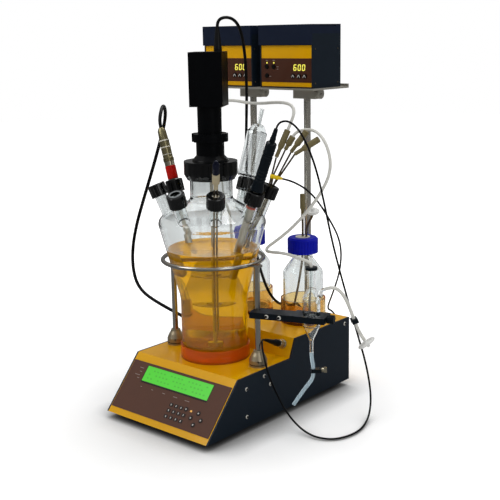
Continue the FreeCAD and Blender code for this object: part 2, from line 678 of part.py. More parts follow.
def make_stirrer():
    """The vibrating shaft with its two perforated discs and its foot."""
    axis = ("0", "vessel_y", "0")

    def hub(level):
        under, over = level + " - disc_sheet / 2", level + " + disc_sheet / 2"
        return [("hub_radius", level + " - hub_height / 2"), ("hub_radius", under),
                ("disc_radius", under), ("disc_radius", over),
                ("hub_radius", over), ("hub_radius", level + " + hub_height / 2")]

    points = [("0", "shaft_low"), ("hub_radius", "shaft_low"), ("hub_radius", "shaft_low + hub_height")]
    for level in ("lower_disc", "upper_disc"):
        points += [("shaft_radius", points[-1][1]), ("shaft_radius", "%s - hub_height / 2" % level)]
        points += hub(level)
    points += [("shaft_radius", points[-1][1]), ("shaft_radius", "shaft_top"), ("0", "shaft_top")]
    shaft = turned("stirrer_turned", points, axis)
    tool = shaft.newObject("PartDesign::SubtractiveCone", "disc_hole")
    bind(tool, Radius1="1.5", Radius2="3.4", Height="6")
    place(tool, ("(hub_radius + disc_radius) / 2", "0", "lower_disc - 3"))
    doc.recompute()
    ring = shaft.newObject("PartDesign::PolarPattern", "disc_holes")
    ring.Originals = [tool]
    ring.Axis = (origin_item(shaft, "Z_Axis"), [""])
    ring.Angle = 360.0
    ring.Occurrences = 8
    shaft.Tip = ring
    keep(shaft, "stirrer_shaft")


# ---------------------------------------------------------------- probes and port fittings

def make_probes():
    """The acidity and oxygen probes, the first one's connector, and the reflux condenser."""
    at, turn = port_seat("cap_ph")
    keep(turned("ph_body", [
        ("0", "probe_end"), ("2", "probe_end + 1"), ("probe_radius", "probe_end + 8"),
        ("probe_radius", "46.5"), ("probe_collar", "46.5"), ("probe_collar", "69"),
        ("probe_collar - 0.6", "69"), ("probe_collar - 0.6", "77"), ("0", "77")],
        at, turn), "ph_probe")

    at, turn = port_seat("cap_do")
    keep(turned("do_body", [
        ("0", "probe_end"), ("5", "probe_end"), ("probe_radius", "probe_end + 1"),
        ("probe_radius", "46"), ("11", "48"), ("handle_radius", "60"), ("handle_radius", "106"),
        ("handle_radius - 0.7", "107"), ("handle_radius - 0.7", "110"), ("handle_radius", "111"),
        ("handle_radius", "129"), ("handle_radius - 1", "130"), ("4.6", "131"),
        ("4.6", "138"), ("3.2", "153"), ("0", "153")], at, turn), "do_probe")

    at, turn = port_seat("cap_condenser")
    wall = "condenser_wall"
    top = "142"
    jacket = turned("condenser_jacket", [
        ("7", "10"), ("7", "47"), ("condenser_radius - 1", "48.5"), ("condenser_radius", "53"),
        ("condenser_radius", "126"), ("10", "139"), ("3.6", top), ("3.6", "168"), ("2.4", "168"),
        ("2.4", top), ("10 - %s" % wall, "139 - %s" % wall), ("condenser_radius - %s" % wall, "125"),
        ("condenser_radius - %s" % wall, "53"), ("condenser_radius - 1 - %s" % wall, "50"),
        ("7 - %s" % wall, "49"), ("7 - %s" % wall, "10")],
        at, turn)
    keep(jacket, "condenser")


def make_port_tubes():
    """Steel lines through the front port and the many-line port, their seals and couplings."""
    tubes = []
    for index, (start, end) in enumerate(COUPLINGS):
        side, inward = QUAD_HOLES[index]
        corner = port_point("cap_quad", LINE_BEND, side, inward)
        heading = FreeCAD.Vector(*start) - corner
        stop = corner + heading * (1.0 - 0.6 / heading.Length)
        low = port_point("cap_quad", -60 - 12 * index, side, inward)
        tubes.append(tube_solid("line_%d" % index, [low, corner, stop], LINE_RADIUS, report=False, bend=4.0))
    side, inward = QUAD_HOLES[4]
    tubes.append(tube_solid("well", [port_point("cap_quad", -70, side, inward),
                                     port_point("cap_quad", LINE_BEND, side, inward), WELL_TOP],
                            LINE_RADIUS, report=False, bend=4.0))
    # the feed lines turn straight down where they come near the vessel's lower wall
    inside = read("lower_radius") - read("glass_wall") - read("feed_gap")
    turn_down = (inside - read("port_circle")) / math.sin(math.radians(read("port_tilt")))
    for side in FRONT_HOLES:
        low = port_point("cap_front", turn_down, side, 0)
        drop = FreeCAD.Vector(low.x, low.y, 150.0)
        tubes.append(tube_solid("feed", [drop, low, port_point("cap_front", 56, side, 0)], LINE_RADIUS,
                                report=False))
    keep(feature("lines", Part.makeCompound(tubes)), "steel_lines")

    couplings = []
    for start, end in COUPLINGS:
        couplings.append(coupling(start, end, 5.2))
    couplings.append(coupling(port_point("cap_front", 56.2), port_point("cap_front", 83), 5.8))
    for x in (BOTTLE_X, -BOTTLE_X):
        couplings.append(coupling((x, BOTTLE_Y, 311), (x, BOTTLE_Y, 352), 4.6))
    middle = port_point("cap_front", 99)
    closure = along(port_point("cap_front", 83.2), middle, 5.4)
    closure = closure.fuse(along(middle, port_point("cap_front", 106), 5.4, 2.5))
    couplings.append(closure.removeSplitter())
    keep(feature("coupling_set", Part.makeCompound(couplings)), "couplings")


def make_seals():
    """Pierced seals under the two bored caps that carry lines, and rings on the probes."""
    seals = []
    for name, holes in (("cap_quad", QUAD_HOLES), ("cap_front", [(side, 0.0) for side in FRONT_HOLES])):
        at, turn = port_seat(name, "port_length + seal_gap")
        disc = cylinder("seal_" + name, "cap_radius - cap_wall - fit_gap", "seal_sheet", at, turn)
        pins = []
        for index, (side, inward) in enumerate(holes):
            low = port_point(name, 30, side, inward)
            pins.append(cylinder("seal_hole_%s_%d" % (name, index), "line_radius + seal_gap", "20",
                                 (str(low.x), str(low.y), str(low.z)), turn))
        seals.append(cut("pierced_" + name, disc, pins))
    for name in ("cap_do", "cap_ph"):
        at, turn = port_seat(name, "16")
        seals.append(turned("ring_" + name, [
            ("probe_radius + 0.1", "0"), ("port_bore - fit_gap", "0"), ("port_bore - fit_gap", "3"),
            ("probe_radius + 0.1", "3")], at, turn))
    keep(grouped("seal_set", seals), "port_seals")


def coupling(start, end, radius):
    """A moulded tube coupling: a thin foot, a short shoulder and a thicker sleeve."""
    foot = FreeCAD.Vector(*start)
    run = FreeCAD.Vector(*end) - foot
    stem = along(foot, foot + run * 0.3, radius * 0.62)
    shoulder = along(foot + run * 0.3, foot + run * 0.4, radius * 0.62, radius)
    sleeve = along(foot + run * 0.4, foot + run, radius)
    return stem.fuse([shoulder, sleeve]).removeSplitter()


LINE_RADIUS = read("line_radius")
LINE_BEND = 47.0
BOTTLE_X = read("bottle_x")
BOTTLE_Y = read("bottle_y")
QUAD_HOLES = [(-3.4, 3.4), (3.4, 3.4), (3.4, -3.4), (-3.4, -3.4), (-6.4, 0.0)]
FRONT_HOLES = (-2.2, 2.2)
COUPLINGS = [((86, 22, 428), (99, 36, 471)), ((97, 32, 440), (108, 38, 461)),
             ((110, 30, 437), (131, 44, 470)), ((121, 26, 435), (155, 44, 459))]
WELL_TOP = (89.5, 7.6, 395.0)
WARM_SEAT = (86.6, 5.0, 399.8)
WARM_PLUG = (102.5, 17.0, 395.0)


# ---------------------------------------------------------------- reagent bottles

def make_bottles():
    """Two square-shouldered reagent bottles, each in an open cup with a bored screw cap."""
    foot = "high_deck + cup_floor"
    cups = []
    for side, sign in (("left", "0 - "), ("right", "")):
        at = (sign + "bottle_x", "bottle_y", foot)
        points = [("0", "0"), ("bottle_radius", "0"), ("bottle_radius", "bottle_shoulder"),
                  ("bottle_neck", "bottle_height - finish_height - 8"),
                  ("bottle_neck", "bottle_height - finish_height"),
                  ("bottle_finish", "bottle_height - finish_height + 2"), ("bottle_finish", "bottle_height"),
                  ("bottle_neck - bottle_wall", "bottle_height"),
                  ("bottle_neck - bottle_wall", "bottle_height - finish_height - 9"),
                  ("bottle_radius - bottle_wall", "bottle_shoulder - 1"),
                  ("bottle_radius - bottle_wall", "bottle_wall"), ("0", "bottle_wall")]
        body = turned("bottle_body_" + side, points, at)
        rounded(body, read("bottle_radius"), 0.0, "4")
        rounded(body, read("bottle_radius"), read("bottle_shoulder"), "12")
        rounded(body, read("bottle_radius") - read("bottle_wall"), read("bottle_shoulder") - 1.0, "10")
        keep(body, "bottle_" + side)

        inside = "bottle_finish + fit_gap"
        cap = turned("bottle_lid_" + side, [
            ("bottle_cap_radius", "0"), ("bottle_cap_radius", "bottle_cap_height"),
            ("bottle_cap_bore", "bottle_cap_height"),
            ("bottle_cap_bore", "bottle_cap_height - bottle_cap_wall"),
            (inside, "bottle_cap_height - bottle_cap_wall"), (inside, "0")],
            (at[0], at[1], "%s + bottle_height + bottle_cap_wall + fit_gap - bottle_cap_height" % foot))
        bevelled(cap, read("bottle_cap_radius"), read("bottle_cap_height"), "3")
        grooved(cap, "bottle_cap_radius + 0.7", "1.3", "-1", "bottle_cap_height - 5", "bottle_grooves")
        keep(cap, "bottle_cap_" + side)

        inner = "bottle_radius + cup_gap"
        outer = inner + " + cup_wall"
        cups.append(turned("cup_" + side, [
            ("0", "0"), (outer, "0"), (outer, "cup_height"), (inner, "cup_height"),
            (inner, "cup_floor"), ("0", "cup_floor")], (at[0], at[1], "high_deck")))
    keep(grouped("cup_pair", cups), "bottle_cups")

    plugs = []
    for side, sign in (("left", "0 - "), ("right", "")):
        at = (sign + "bottle_x", "bottle_y", foot + " + bottle_height")
        disc = turned("stopper_" + side, [
            ("0", "-8"), ("bottle_neck - bottle_wall - fit_gap", "-8"),
            ("bottle_neck - bottle_wall - fit_gap", "0"), ("bottle_cap_bore - fit_gap", "0"),
            ("bottle_cap_bore - fit_gap", "bottle_cap_wall + 1"), ("0", "bottle_cap_wall + 1")], at)
        holes = [cylinder("stopper_hole_%s_%d" % (side, index), "2.1", "20",
                          (sign + "bottle_x + %s" % shift, "bottle_y", foot + " + bottle_height - 10"))
                 for index, shift in enumerate(("0", "8"))]
        plugs.append(cut("stopper_bored_" + side, disc, holes))
    keep(grouped("stopper_pair", plugs), "bottle_stoppers")

    tubes = []
    for sign in (-1, 1):
        x = sign * BOTTLE_X
        tubes.append(tube_solid("dip", [
            (x, BOTTLE_Y, 310.8), (x, BOTTLE_Y, 240), (x - 10, BOTTLE_Y, 190), (x - 20, BOTTLE_Y, 150)],
            2.0, report=False))
        tubes.append(tube_solid("vent", [
            (x + 8, BOTTLE_Y, 262), (x + 8, BOTTLE_Y, 292), (x + 15, BOTTLE_Y - 2, 305),
            (x + 22, BOTTLE_Y - 4, 313), (x + 25.6, BOTTLE_Y - 5, 320)], 2.0, report=False))
    keep(feature("bottle_lines", Part.makeCompound(tubes)), "bottle_tubes")


def make_filters():
    """Disc filters: a small one on each bottle's vent, a larger one on the sampler's side hose."""
    discs = []
    spots = [((BOTTLE_X + 25.8, BOTTLE_Y - 5, 320.3), (0.2, -0.3, 1.0), 11.8),
             ((-BOTTLE_X + 25.8, BOTTLE_Y - 5, 320.3), (0.2, -0.3, 1.0), 11.8),
             (lead(SIDE_HOSE[-1], SIDE_HOSE[-2], 0.3),
              FreeCAD.Vector(*SIDE_HOSE[-1]) - FreeCAD.Vector(*SIDE_HOSE[-2]), 15.2)]
    for spot, heading, rim_radius in spots:
        foot = FreeCAD.Vector(*spot)
        way = FreeCAD.Vector(*heading)
        way.normalize()
        stem = Part.makeCylinder(2.2, 3.4, foot, way)
        drum = Part.makeCylinder(rim_radius - 1.5, 4.4, foot + way * 3.2, way)
        rim = Part.makeCylinder(rim_radius, 1.6, foot + way * 4.6, way)
        nipple = Part.makeCylinder(2.8, 5.0, foot + way * 7.4, way)
        discs.append(stem.fuse([drum, rim, nipple]).removeSplitter())
    keep(feature("filter_set", Part.makeCompound(discs)), "disc_filters")


# ---------------------------------------------------------------- stand and pumps

def make_stand():
    """Two rods through the deck, and the shelf with a clamp block on each rod."""
    rods = []
    blocks = []
    rod_top = "shelf_level"
    for side, sign in (("left", "-"), ("right", "+")):
        x = "rod_middle %s rod_spread" % sign
        rods.append(cylinder("rod_" + side, "rod_radius", rod_top + " - foot_height - cover_sheet",
                             (x, "rod_y", "foot_height + cover_sheet")))
        solid = block("clamp_block_" + side, "clamp_width", "clamp_depth", "clamp_height",
                      (x + " - clamp_width / 2", "rod_y - clamp_depth / 2", "shelf_level - clamp_height"))
        end = cylinder("clamp_end_" + side, "clamp_height / 2", "6",
                       (x + " + clamp_width / 2", "rod_y", "shelf_level - clamp_height / 2"),
                       ("0", "90", "0"))
        bore = cylinder("clamp_bore_" + side, "rod_radius + 0.05", "40",
                        (x, "rod_y", "shelf_level - clamp_height - 10"))
        key = cylinder("clamp_key_" + side, "2.2", "4",
                       (x + " + clamp_width / 2 + 3", "rod_y", "shelf_level - clamp_height / 2"),
                       ("0", "90", "0"))
        blocks.append(cut("clamp_" + side, fused("clamp_solid_" + side, [solid, end]), [bore, key]))
    keep(grouped("rod_pair", rods), "stand_rods")

    plate = block("shelf_plate", "shelf_right - shelf_left", "shelf_back - shelf_front", "shelf_sheet",
                  ("shelf_left", "shelf_front", "shelf_level"))
    lip = block("shelf_lip", "shelf_right - shelf_left", "shelf_sheet", "7",
                ("shelf_left", "shelf_back - shelf_sheet", "shelf_level + 0.1"))
    keep(grouped("shelf_and_clamps", [fused("shelf", [plate, lip])] + blocks), "pump_shelf")


def make_pumps():
    """Two alike pump units: case, face, hood and the keys that travel in the face."""
    foot = "shelf_level + shelf_sheet"
    cases = []
    faces = []
    hoods = []
    for side in ("left", "right"):
        middle = "pump_%s_x" % side
        low_x = middle + " - pump_width / 2"
        body = block("case_body_" + side, "pump_width", "pump_depth", "pump_height - hood_side",
                     (low_x, "pump_front", foot))
        recess = block("case_recess_" + side, "pump_width - 4", "16", "pump_height",
                       (low_x + " + 2", "pump_front - 8", foot + " + 2"))
        rear = block("case_room_" + side, "pump_width - 6", "pump_depth - 14", "pump_height",
                     (low_x + " + 3", "pump_front + 11", foot + " + 3"))
        cases.append(cut("case_" + side, body, [recess, rear]))

        hood = block("hood_body_" + side, "pump_width", "pump_depth + hood_lip", "hood_side",
                     (low_x, "pump_front - hood_lip", foot + " + pump_height - hood_side"))
        skirt = block("hood_skirt_" + side, "pump_width", "hood_sheet + hood_lip", "hood_skirt",
                      (low_x, "pump_front - hood_lip", foot + " + pump_height - hood_skirt"))
        relief = block("hood_relief_" + side, "pump_width + 2", "hood_lip", "hood_skirt",
                       (low_x + " - 1", "pump_front - fit_gap",
                        foot + " + pump_height - hood_skirt - hood_side"))
        inner = block("hood_room_" + side, "pump_width - 2 * hood_sheet", "pump_depth - 2 * hood_sheet - 2",
                      "hood_side", (low_x + " + hood_sheet", "pump_front + hood_sheet",
                                    foot + " + pump_height - hood_side - hood_sheet"))
        notch = block("hood_notch_" + side, "4", "45", "2.5",
                      (low_x + " + pump_width - 2", "pump_front + 20", foot + " + pump_height - 3.5"))
        hoods.append(cut("hood_" + side, fused("hood_solid_" + side, [hood, skirt]),
                         [relief, inner, notch]))

        plate = block("face_plate_" + side, "pump_width - 4.6", "face_sheet",
                      "pump_height - hood_skirt - 3", (low_x + " + 2.3", "pump_front + 1.2", foot + " + 2.3"))
        film = block("face_film_" + side, "pump_width - 4.6", "1", "face_gold_low - face_panel_low",
                     (low_x + " + 2.3", "pump_front + 0.3", foot + " + face_panel_low"))
        holes = [cylinder("key_hole_%s_%d" % (side, index), "key_radius + fit_gap", "8",
                          key_spot(side, across, up, "-3"), ("0", "0", "-90"))
                 for index, (across, up) in enumerate(KEYS)]
        faces.append(cut("face_" + side, fused("face_solid_" + side, [plate, film]), holes))

        caps = [cylinder("key_%s_%d" % (side, index), "key_radius", "key_rise + 1.6",
                         key_spot(side, across, up, "0 - key_rise"), ("0", "0", "-90"))
                for index, (across, up) in enumerate(KEYS)]
        bridge = block("key_bridge_" + side, "pump_width - 20", "1.2", "24",
                       (low_x + " + 10", "pump_front + 4.2", foot + " + 14"))
        stems = [cylinder("key_stem_%s_%d" % (side, index), "1.6", "5", key_spot(side, across, up, "0"),
                          ("0", "0", "-90")) for index, (across, up) in enumerate(KEYS)]
        webbed = fused("key_set_" + side, caps + stems + [bridge])
        keep(webbed, "pump_keys_" + side)
    keep(grouped("case_pair", cases), "pump_cases")
    keep(grouped("hood_pair", hoods), "pump_hoods")
    keep(grouped("face_pair", faces), "pump_faces")


KEYS = [("40 - 2 * key_pitch", "20"), ("40 - key_pitch", "20"), ("40", "20"),
        ("-41", "35"), ("-26", "35"), ("-41", "20")]


def key_spot(side, across, up, inward):
    """A key's axis start on a pump's face: its place across and up, and how far in."""
    return ("pump_%s_x + %s" % (side, across), "pump_front + %s" % inward,
            "shelf_level + shelf_sheet + %s" % up)


# ---------------------------------------------------------------- sampler

def arm_place(reach, across, out):
    """Position in the sampler arm's frame: along it from the post, across it and up."""
    at = ("post_x + (%s) * cos(arm_turn) - (%s) * sin(arm_turn)" % (reach, across),
          "vessel_y + (%s) * sin(arm_turn) + (%s) * cos(arm_turn)" % (reach, across),
          "arm_level + (%s)" % out)
    return at, ("arm_turn", "0", "0")


def make_sampler():
    """The arm clamped on the right post, the sampling glass, its knob and the hose clamps."""
    bar = block("arm_bar", "arm_tail + arm_reach", "arm_width", "arm_height",
                *arm_place("0 - arm_tail", "0 - arm_width / 2", "0 - arm_height / 2"))
    narrow_low = block("arm_side_low", "arm_tail + 62", "7", "20",
                       *arm_place("0 - arm_tail - 1", "11", "-10"))
    post_hole = cylinder("arm_post_hole", "post_radius + 0.1", "20",
                         *arm_place("0", "0", "-10"))
    glass_hole = cylinder("arm_glass_hole", "sampler_radius + fit_gap", "20",
                          *arm_place("sampler_reach", "0", "-10"))
    slit = block("arm_slit", "arm_tail", "2", "20", *arm_place("0 - arm_tail - 1", "-1", "-10"))
    thread = cylinder("arm_knob_hole", "2.6", "20",
                      arm_place("sampler_reach + 8", "0", "0")[0], ("arm_turn", "90", "0"))
    holes = [cylinder("arm_screw_hole_%d" % index, "screw_radius + 0.1", "12",
                      arm_place(reach, "0 - arm_width / 2 + 10", "0")[0], ("arm_turn - 90", "90", "0"))
             for index, reach in enumerate(ARM_SCREWS)]
    keep(cut("arm", bar, [narrow_low, post_hole, glass_hole, slit, thread] + holes), "sampler_arm")

    at = arm_place("sampler_reach", "0", "0 - arm_level")[0]
    wall = "1.4"
    flask = turned("flask", [
        ("3", "127"), ("3", "146"), ("4.5", "150"), ("sampler_radius", "171"), ("sampler_radius", "217"),
        ("7", "232"), ("6", "240"), ("6", "262"), ("6 - %s" % wall, "262"), ("6 - %s" % wall, "240"),
        ("7 - %s" % wall, "231"), ("sampler_radius - %s" % wall, "216"),
        ("sampler_radius - %s" % wall, "172"), ("4.5 - %s" % wall, "151"), ("3 - 1.1", "146"),
        ("3 - 1.1", "127")], at)
    first = FreeCAD.Vector(*SIDE_HOSE[0])
    heading = FreeCAD.Vector(*SIDE_HOSE[1]) - first
    heading.normalize()
    side_way = [(SAMPLER_X + 9, SAMPLER_Y + 3, 208), (SAMPLER_X + 10.5, SAMPLER_Y + 7, 221),
                first - heading * 7.0, first - heading * 0.2]
    side_arm = feature("flask_arm", tube_solid("flask_arm", side_way, 2.8, report=False))
    keep(fused("flask_whole", [flask, side_arm]), "sampler_glass")

    at = arm_place("arm_reach + fit_gap", "0", "0")[0]
    knob = turned("knob", [
        ("0", "-9.8"), ("2.4", "-9.8"), ("2.4", "0"), ("knob_radius", "0"), ("knob_radius", "knob_length"),
        ("0", "knob_length")], at, ("arm_turn", "90", "0"))
    grooved(knob, "knob_radius + 0.8", "1.5", "1.5", "knob_length + 2", "10")
    keep(knob, "sampler_knob")


def make_clamps():
    """The sampler's top nut, pinch clamps on its hoses, and the screw of the lower one."""
    foot = FreeCAD.Vector(*SAMPLER_TOP)
    up = FreeCAD.Vector(0.0, 0.0, 1.0)
    nut = Part.makeCylinder(9.5, 4.4, foot, up).cut(Part.makeCylinder(2.6, 4.4, foot, up))
    pieces = [nut]
    start = FreeCAD.Vector(*SIDE_HOSE[5])
    way = FreeCAD.Vector(*SIDE_HOSE[6]) - start
    middle = start + way * 0.5
    way.normalize()
    side = way.cross(up)
    side.normalize()
    pieces.append(hose_block(middle, way, side, 0.0, 16.0, 10.0, 7.0, 2.85))
    start = FreeCAD.Vector(*DRAIN_HOSE[2])
    way = FreeCAD.Vector(*DRAIN_HOSE[3]) - start
    middle = start + way * 0.5
    way.normalize()
    across = FreeCAD.Vector(0.755, 0.656, 0.0)
    across = across - way * across.dot(way)
    across.normalize()
    clamp = hose_block(middle, way, across, 4.5, 16.0, 11.0, 6.0, 3.25)
    hole = Part.makeCylinder(1.7, 10.0, middle + across * 4.0, across)
    pieces.append(clamp.cut(hole))
    keep(feature("clamp_set", Part.makeCompound(pieces)), "pinch_clamps")

    shank = Part.makeCylinder(1.5, 8.5, middle + across * 4.4, across)
    head = Part.makeCylinder(3.4, 4.0, middle + across * 12.9, across)
    wing = Part.makeBox(5.0, 1.6, 9.0)
    turn = FreeCAD.Rotation(FreeCAD.Vector(1.0, 0.0, 0.0), across)
    corner = middle + across * 16.5 + turn.multVec(FreeCAD.Vector(0.0, -0.8, -4.5))
    wing.Placement = FreeCAD.Placement(corner, turn)
    keep(feature("clamp_screw", shank.fuse([head, wing]).removeSplitter()), "pinch_screw")


def hose_block(middle, way, side, shift, width, height, length, bore):
    """A squared clamp body around a hose, shifted sideways, open where the hose passes."""
    normal = side.cross(way)
    centre = middle + side * shift - way * (length / 2.0)
    corners = [centre + side * (width / 2.0 * a) + normal * (height / 2.0 * b)
               for a, b in ((-1, -1), (1, -1), (1, 1), (-1, 1), (-1, -1))]
    body = Part.Face(Part.makePolygon(corners)).extrude(way * length)
    return body.cut(Part.makeCylinder(bore, 40.0, middle - way * 20.0, way))


# ---------------------------------------------------------------- cords and hoses

ARM_ANGLE = math.radians(read("arm_turn"))
SAMPLER_X = read("post_x") + read("sampler_reach") * math.cos(ARM_ANGLE)
SAMPLER_Y = read("vessel_y") + read("sampler_reach") * math.sin(ARM_ANGLE)
SAMPLER_TOP = (SAMPLER_X, SAMPLER_Y, 262.2)
SIDE_HOSE = [(195.3, 4.0, 230.0), (203.1, 9.0, 233.5), (211.0, 15.5, 231.5), (218.6, 21.5, 221.8),
             (224.4, 27.0, 206.0), (228.8, 32.8, 186.6), (232.9, 37.2, 170.0), (238.5, 41.2, 155.0),
             (244.2, 44.0, 146.2)]
DRAIN_HOSE = [(SAMPLER_X, SAMPLER_Y, 126.8), (181.2, -11.0, 115.0), (183.0, -9.6, 106.0),
              (183.4, -9.3, 88.5), (180.0, -12.4, 79.0), (171.6, -20.0, 65.0), (158.9, -30.0, 39.8)]


def make_cords():
    """The free cables and hoses, each a tube along its own route, and their plugs."""
    for name, (route, diameter) in CORDS.items():
        keep(feature(name + "_run", tube_solid(name, route, diameter / 2.0)), name)
    plugs = []
    pin = Part.makeCylinder(3.9, 12.0, FreeCAD.Vector(*socket_point("ph", -7.0)), socket_way("ph"))
    body = Part.makeCylinder(6.6, 13.4, FreeCAD.Vector(*socket_point("ph", 2.6)), socket_way("ph"))
    elbow = along(socket_point("ph", 10.0), ELBOW_MIDDLE, 5.2)
    elbow = elbow.fuse([along(ELBOW_MIDDLE, ELBOW_TIP, 5.2, 3.6), pin, body]).removeSplitter()
    plugs.append(feature("elbow_plug", elbow))
    for name, (kind, across, level) in SOCKETS.items():
        if name == "ph":
            continue
        at, turn = socket_place(kind, across, level)
        plugs.append(turned("plug_" + name, [
            ("0", "-7"), ("3.9", "-7"), ("3.9", "2.4"), ("6.6", "2.6"), ("6.6", "12"), ("5.8", "12.6"),
            ("5.8", "20"), ("5", "22"), ("2.4", "48"), ("0", "48")], at, turn))
    at, turn = port_seat("cap_ph", "77.2")
    plugs.append(turned("ph_connector", [
        ("0", "0"), ("9.2", "0"), ("9.2", "5.4"), ("8.4", "6"), ("8.4", "22.6"), ("8.8", "23"),
        ("8.8", "25"), ("8.4", "25.4"), ("8.3", "34"), ("8.9", "34.4"), ("8.9", "36.8"),
        ("7.8", "37.4"), ("7", "53"), ("4.4", "58"), ("0", "58")], at, turn))
    seat = FreeCAD.Vector(*WARM_SEAT)
    run = FreeCAD.Vector(*WARM_PLUG) - seat
    head = along(seat, seat + run * 0.6, 3.4)
    boot = along(seat + run * 0.6, seat + run, 3.4, 1.8)
    stub = along((WELL_TOP[0], WELL_TOP[1], WELL_TOP[2] + 1.3),
                 (WELL_TOP[0], WELL_TOP[1], WELL_TOP[2] + 4.0), 2.2)
    plugs.append(feature("warm_head", head.fuse([boot, stub]).removeSplitter()))
    keep(grouped("plug_set", plugs), "cord_plugs")


def socket_point(name, out):
    """A point on a socket's own axis, as numbers, at a distance out of the panel."""
    kind, across, level = SOCKETS[name]
    x = float(across)
    z = float(level)
    if kind == "rear":
        return (x, read("base_depth") / 2.0 + out, z)
    rise = read("high_deck") - read("low_deck")
    run = read("riser_back") - read("riser_front")
    slope = math.hypot(rise, run)
    y = read("riser_front") + (z - read("low_deck")) / rise * run
    return (x, y - out * rise / slope, z + out * run / slope)


def socket_way(name):
    """The direction in which a socket faces."""
    return FreeCAD.Vector(*socket_point(name, 1.0)) - FreeCAD.Vector(*socket_point(name, 0.0))


def lead(point, before, length):
    """A point beyond an exit, on the line that the exit piece points along."""
    foot = FreeCAD.Vector(*point)
    way = foot - FreeCAD.Vector(*before)
    way.normalize()
    return tuple(foot + way * length)


DO_TIP = tuple(port_point("cap_do", 153.0))
PH_TIP = tuple(port_point("cap_ph", 135.2))
BOOT_TIP = (BOOT[0], BOOT[1], read("housing_top") + read("boot_height"))
ELBOW_MIDDLE = tuple(FreeCAD.Vector(*socket_point("ph", 10.0)) - FreeCAD.Vector(14.0, 0.0, 0.0))
ELBOW_TIP = tuple(FreeCAD.Vector(*socket_point("ph", 10.0)) - FreeCAD.Vector(29.0, 0.0, 0.0))
QUAD_FIRST = COUPLINGS[0]
QUAD_SECOND = COUPLINGS[1]
CORDS = {
    "do_cable": ([
        DO_TIP, lead(DO_TIP, port_point("cap_do", 60.0), 7.0), (147, -38, 493), (153.5, -29, 492.5),
        (160, -17, 482), (167, -7, 462), (174, 2, 435), (180.5, 9, 403), (187, 15, 363), (193, 20.5, 322),
        (199, 28, 281), (205, 39, 237), (211, 52, 190), (216, 67, 142), (220.5, 82, 96), (223.5, 91, 56),
        (226, 92, 27), (232, 79, 8), (242, 54, 2.6), (251, 23, 2.2), (250, -8, 2.4), (238, -33, 2.2),
        (215, -44, 3.2), (190, -41, 5), (166, -36, 12), (147, -36, 28), (133, -40, 53), (124.5, -48, 82),
        (115.5, -48, 106), (107, -44, 124), (99, -36, 135), socket_point("do", 57.0),
        socket_point("do", 48.0)], 3.2),
    "temperature_cable": ([
        WARM_PLUG, lead(WARM_PLUG, WARM_SEAT, 8.0), (117, 29, 389), (129.5, 38, 380.5), (140, 47.5, 368),
        (150.5, 57, 349), (161, 66, 325.5), (167, 77, 303), (166, 88.5, 280), (158, 101, 254),
        (144.5, 114, 225), (126, 129, 198), (104, 149, 172), (82, 170, 149), (70, 184, 134),
        (70, 196, 128.5), (70, 208, 116), (67, 219, 100), (58, 232, 85), (44, 248, 74), (28, 256, 66),
        (16, 252, 62.5), socket_point("warm", 48.0)], 3.0),
    "ph_cable": ([
        PH_TIP, lead(PH_TIP, port_point("cap_ph", 60.0), 10.0), (-128, -26, 491), (-136.5, -13, 502.5),
        (-147, 2, 503.5), (-155, 13, 492), (-164, 18, 470), (-177, 18, 438), (-191, 16, 401),
        (-205, 12, 362), (-219, 8, 324), (-230, 2, 286), (-234, -6, 248), (-230, -13, 213),
        (-219, -17, 184), (-202, -17, 166), (-180, -13, 154), (-156, -4, 141.5), (-134, 5, 131),
        (-115, 13, 121), lead(ELBOW_TIP, ELBOW_MIDDLE, 11.0), ELBOW_TIP], 6.0),
    "drive_cable": ([
        BOOT_TIP, (BOOT[0], BOOT[1], 640.5), (17, -25.5, 647.5), (24, -13, 648), (26, 2, 639.5),
        (20.5, 18, 622), (10, 36, 597), (-3, 54, 564), (-16, 70, 525), (-29, 83, 482), (-38, 91, 436),
        (-41, 93, 388), (-38, 92, 340), (-31, 92, 292), (-22, 94, 246), (-14, 99, 204), (-8, 110, 170),
        (-6, 128, 148), (-7, 150, 136), (-11, 174, 131.5), (-16, 196, 129), (-19, 214, 117),
        (-21, 232, 105), (-22, 254, 98), (-22, 274, 88), (-22, 280, 71), (-22, 268, 59),
        (-22, 252, 58), socket_point("drive", 48.0)], 5.0),
    "sample_hose": ([
        QUAD_SECOND[1], lead(QUAD_SECOND[1], QUAD_SECOND[0], 6.0), (116.5, 46, 470.5),
        (127, 51.5, 472), (141, 49, 471.5), (156, 43.5, 467.5), (170, 39, 457), (180, 36.5, 440.5),
        (184.5, 35, 421), (181, 33.5, 401), (171.5, 32, 382.5), (158.5, 30, 363), (142, 26.5, 342),
        (122, 22, 320), (102, 17.5, 302), (86, 12.5, 289), (75.5, 8.5, 280.5), (77, 4.5, 275.5),
        (88, 1.5, 275.8), (104, -1, 277.5), (122, -3.5, 279), (144, -7, 278), (162, -9.5, 276),
        (174, -10.2, 274.5), (SAMPLER_X, SAMPLER_Y, 271.5), SAMPLER_TOP], 5.0),
    "air_hose": ([
        QUAD_FIRST[1], lead(QUAD_FIRST[1], QUAD_FIRST[0], 12.0), (105.5, 45, 497), (98, 51, 508),
        (80, 55, 512.5), (54, 59, 512), (24, 63, 509), (-8, 67, 508), (-40, 71, 511), (-66, 73, 511),
        (-82, 72, 498), (-84, 70, 474), (-79, 68, 434), (-70, 66, 392), (-60, 64, 346), (-50, 61, 300),
        (-42, 57, 254), (-36, 53, 214), (-32, 51, 178), (-30, 50, 152), (-30, 50, 138.3)], 5.0),
    "side_hose": (SIDE_HOSE, 5.5),
    "drain_hose": (DRAIN_HOSE, 6.3),
}


# ---------------------------------------------------------------- build, check and write

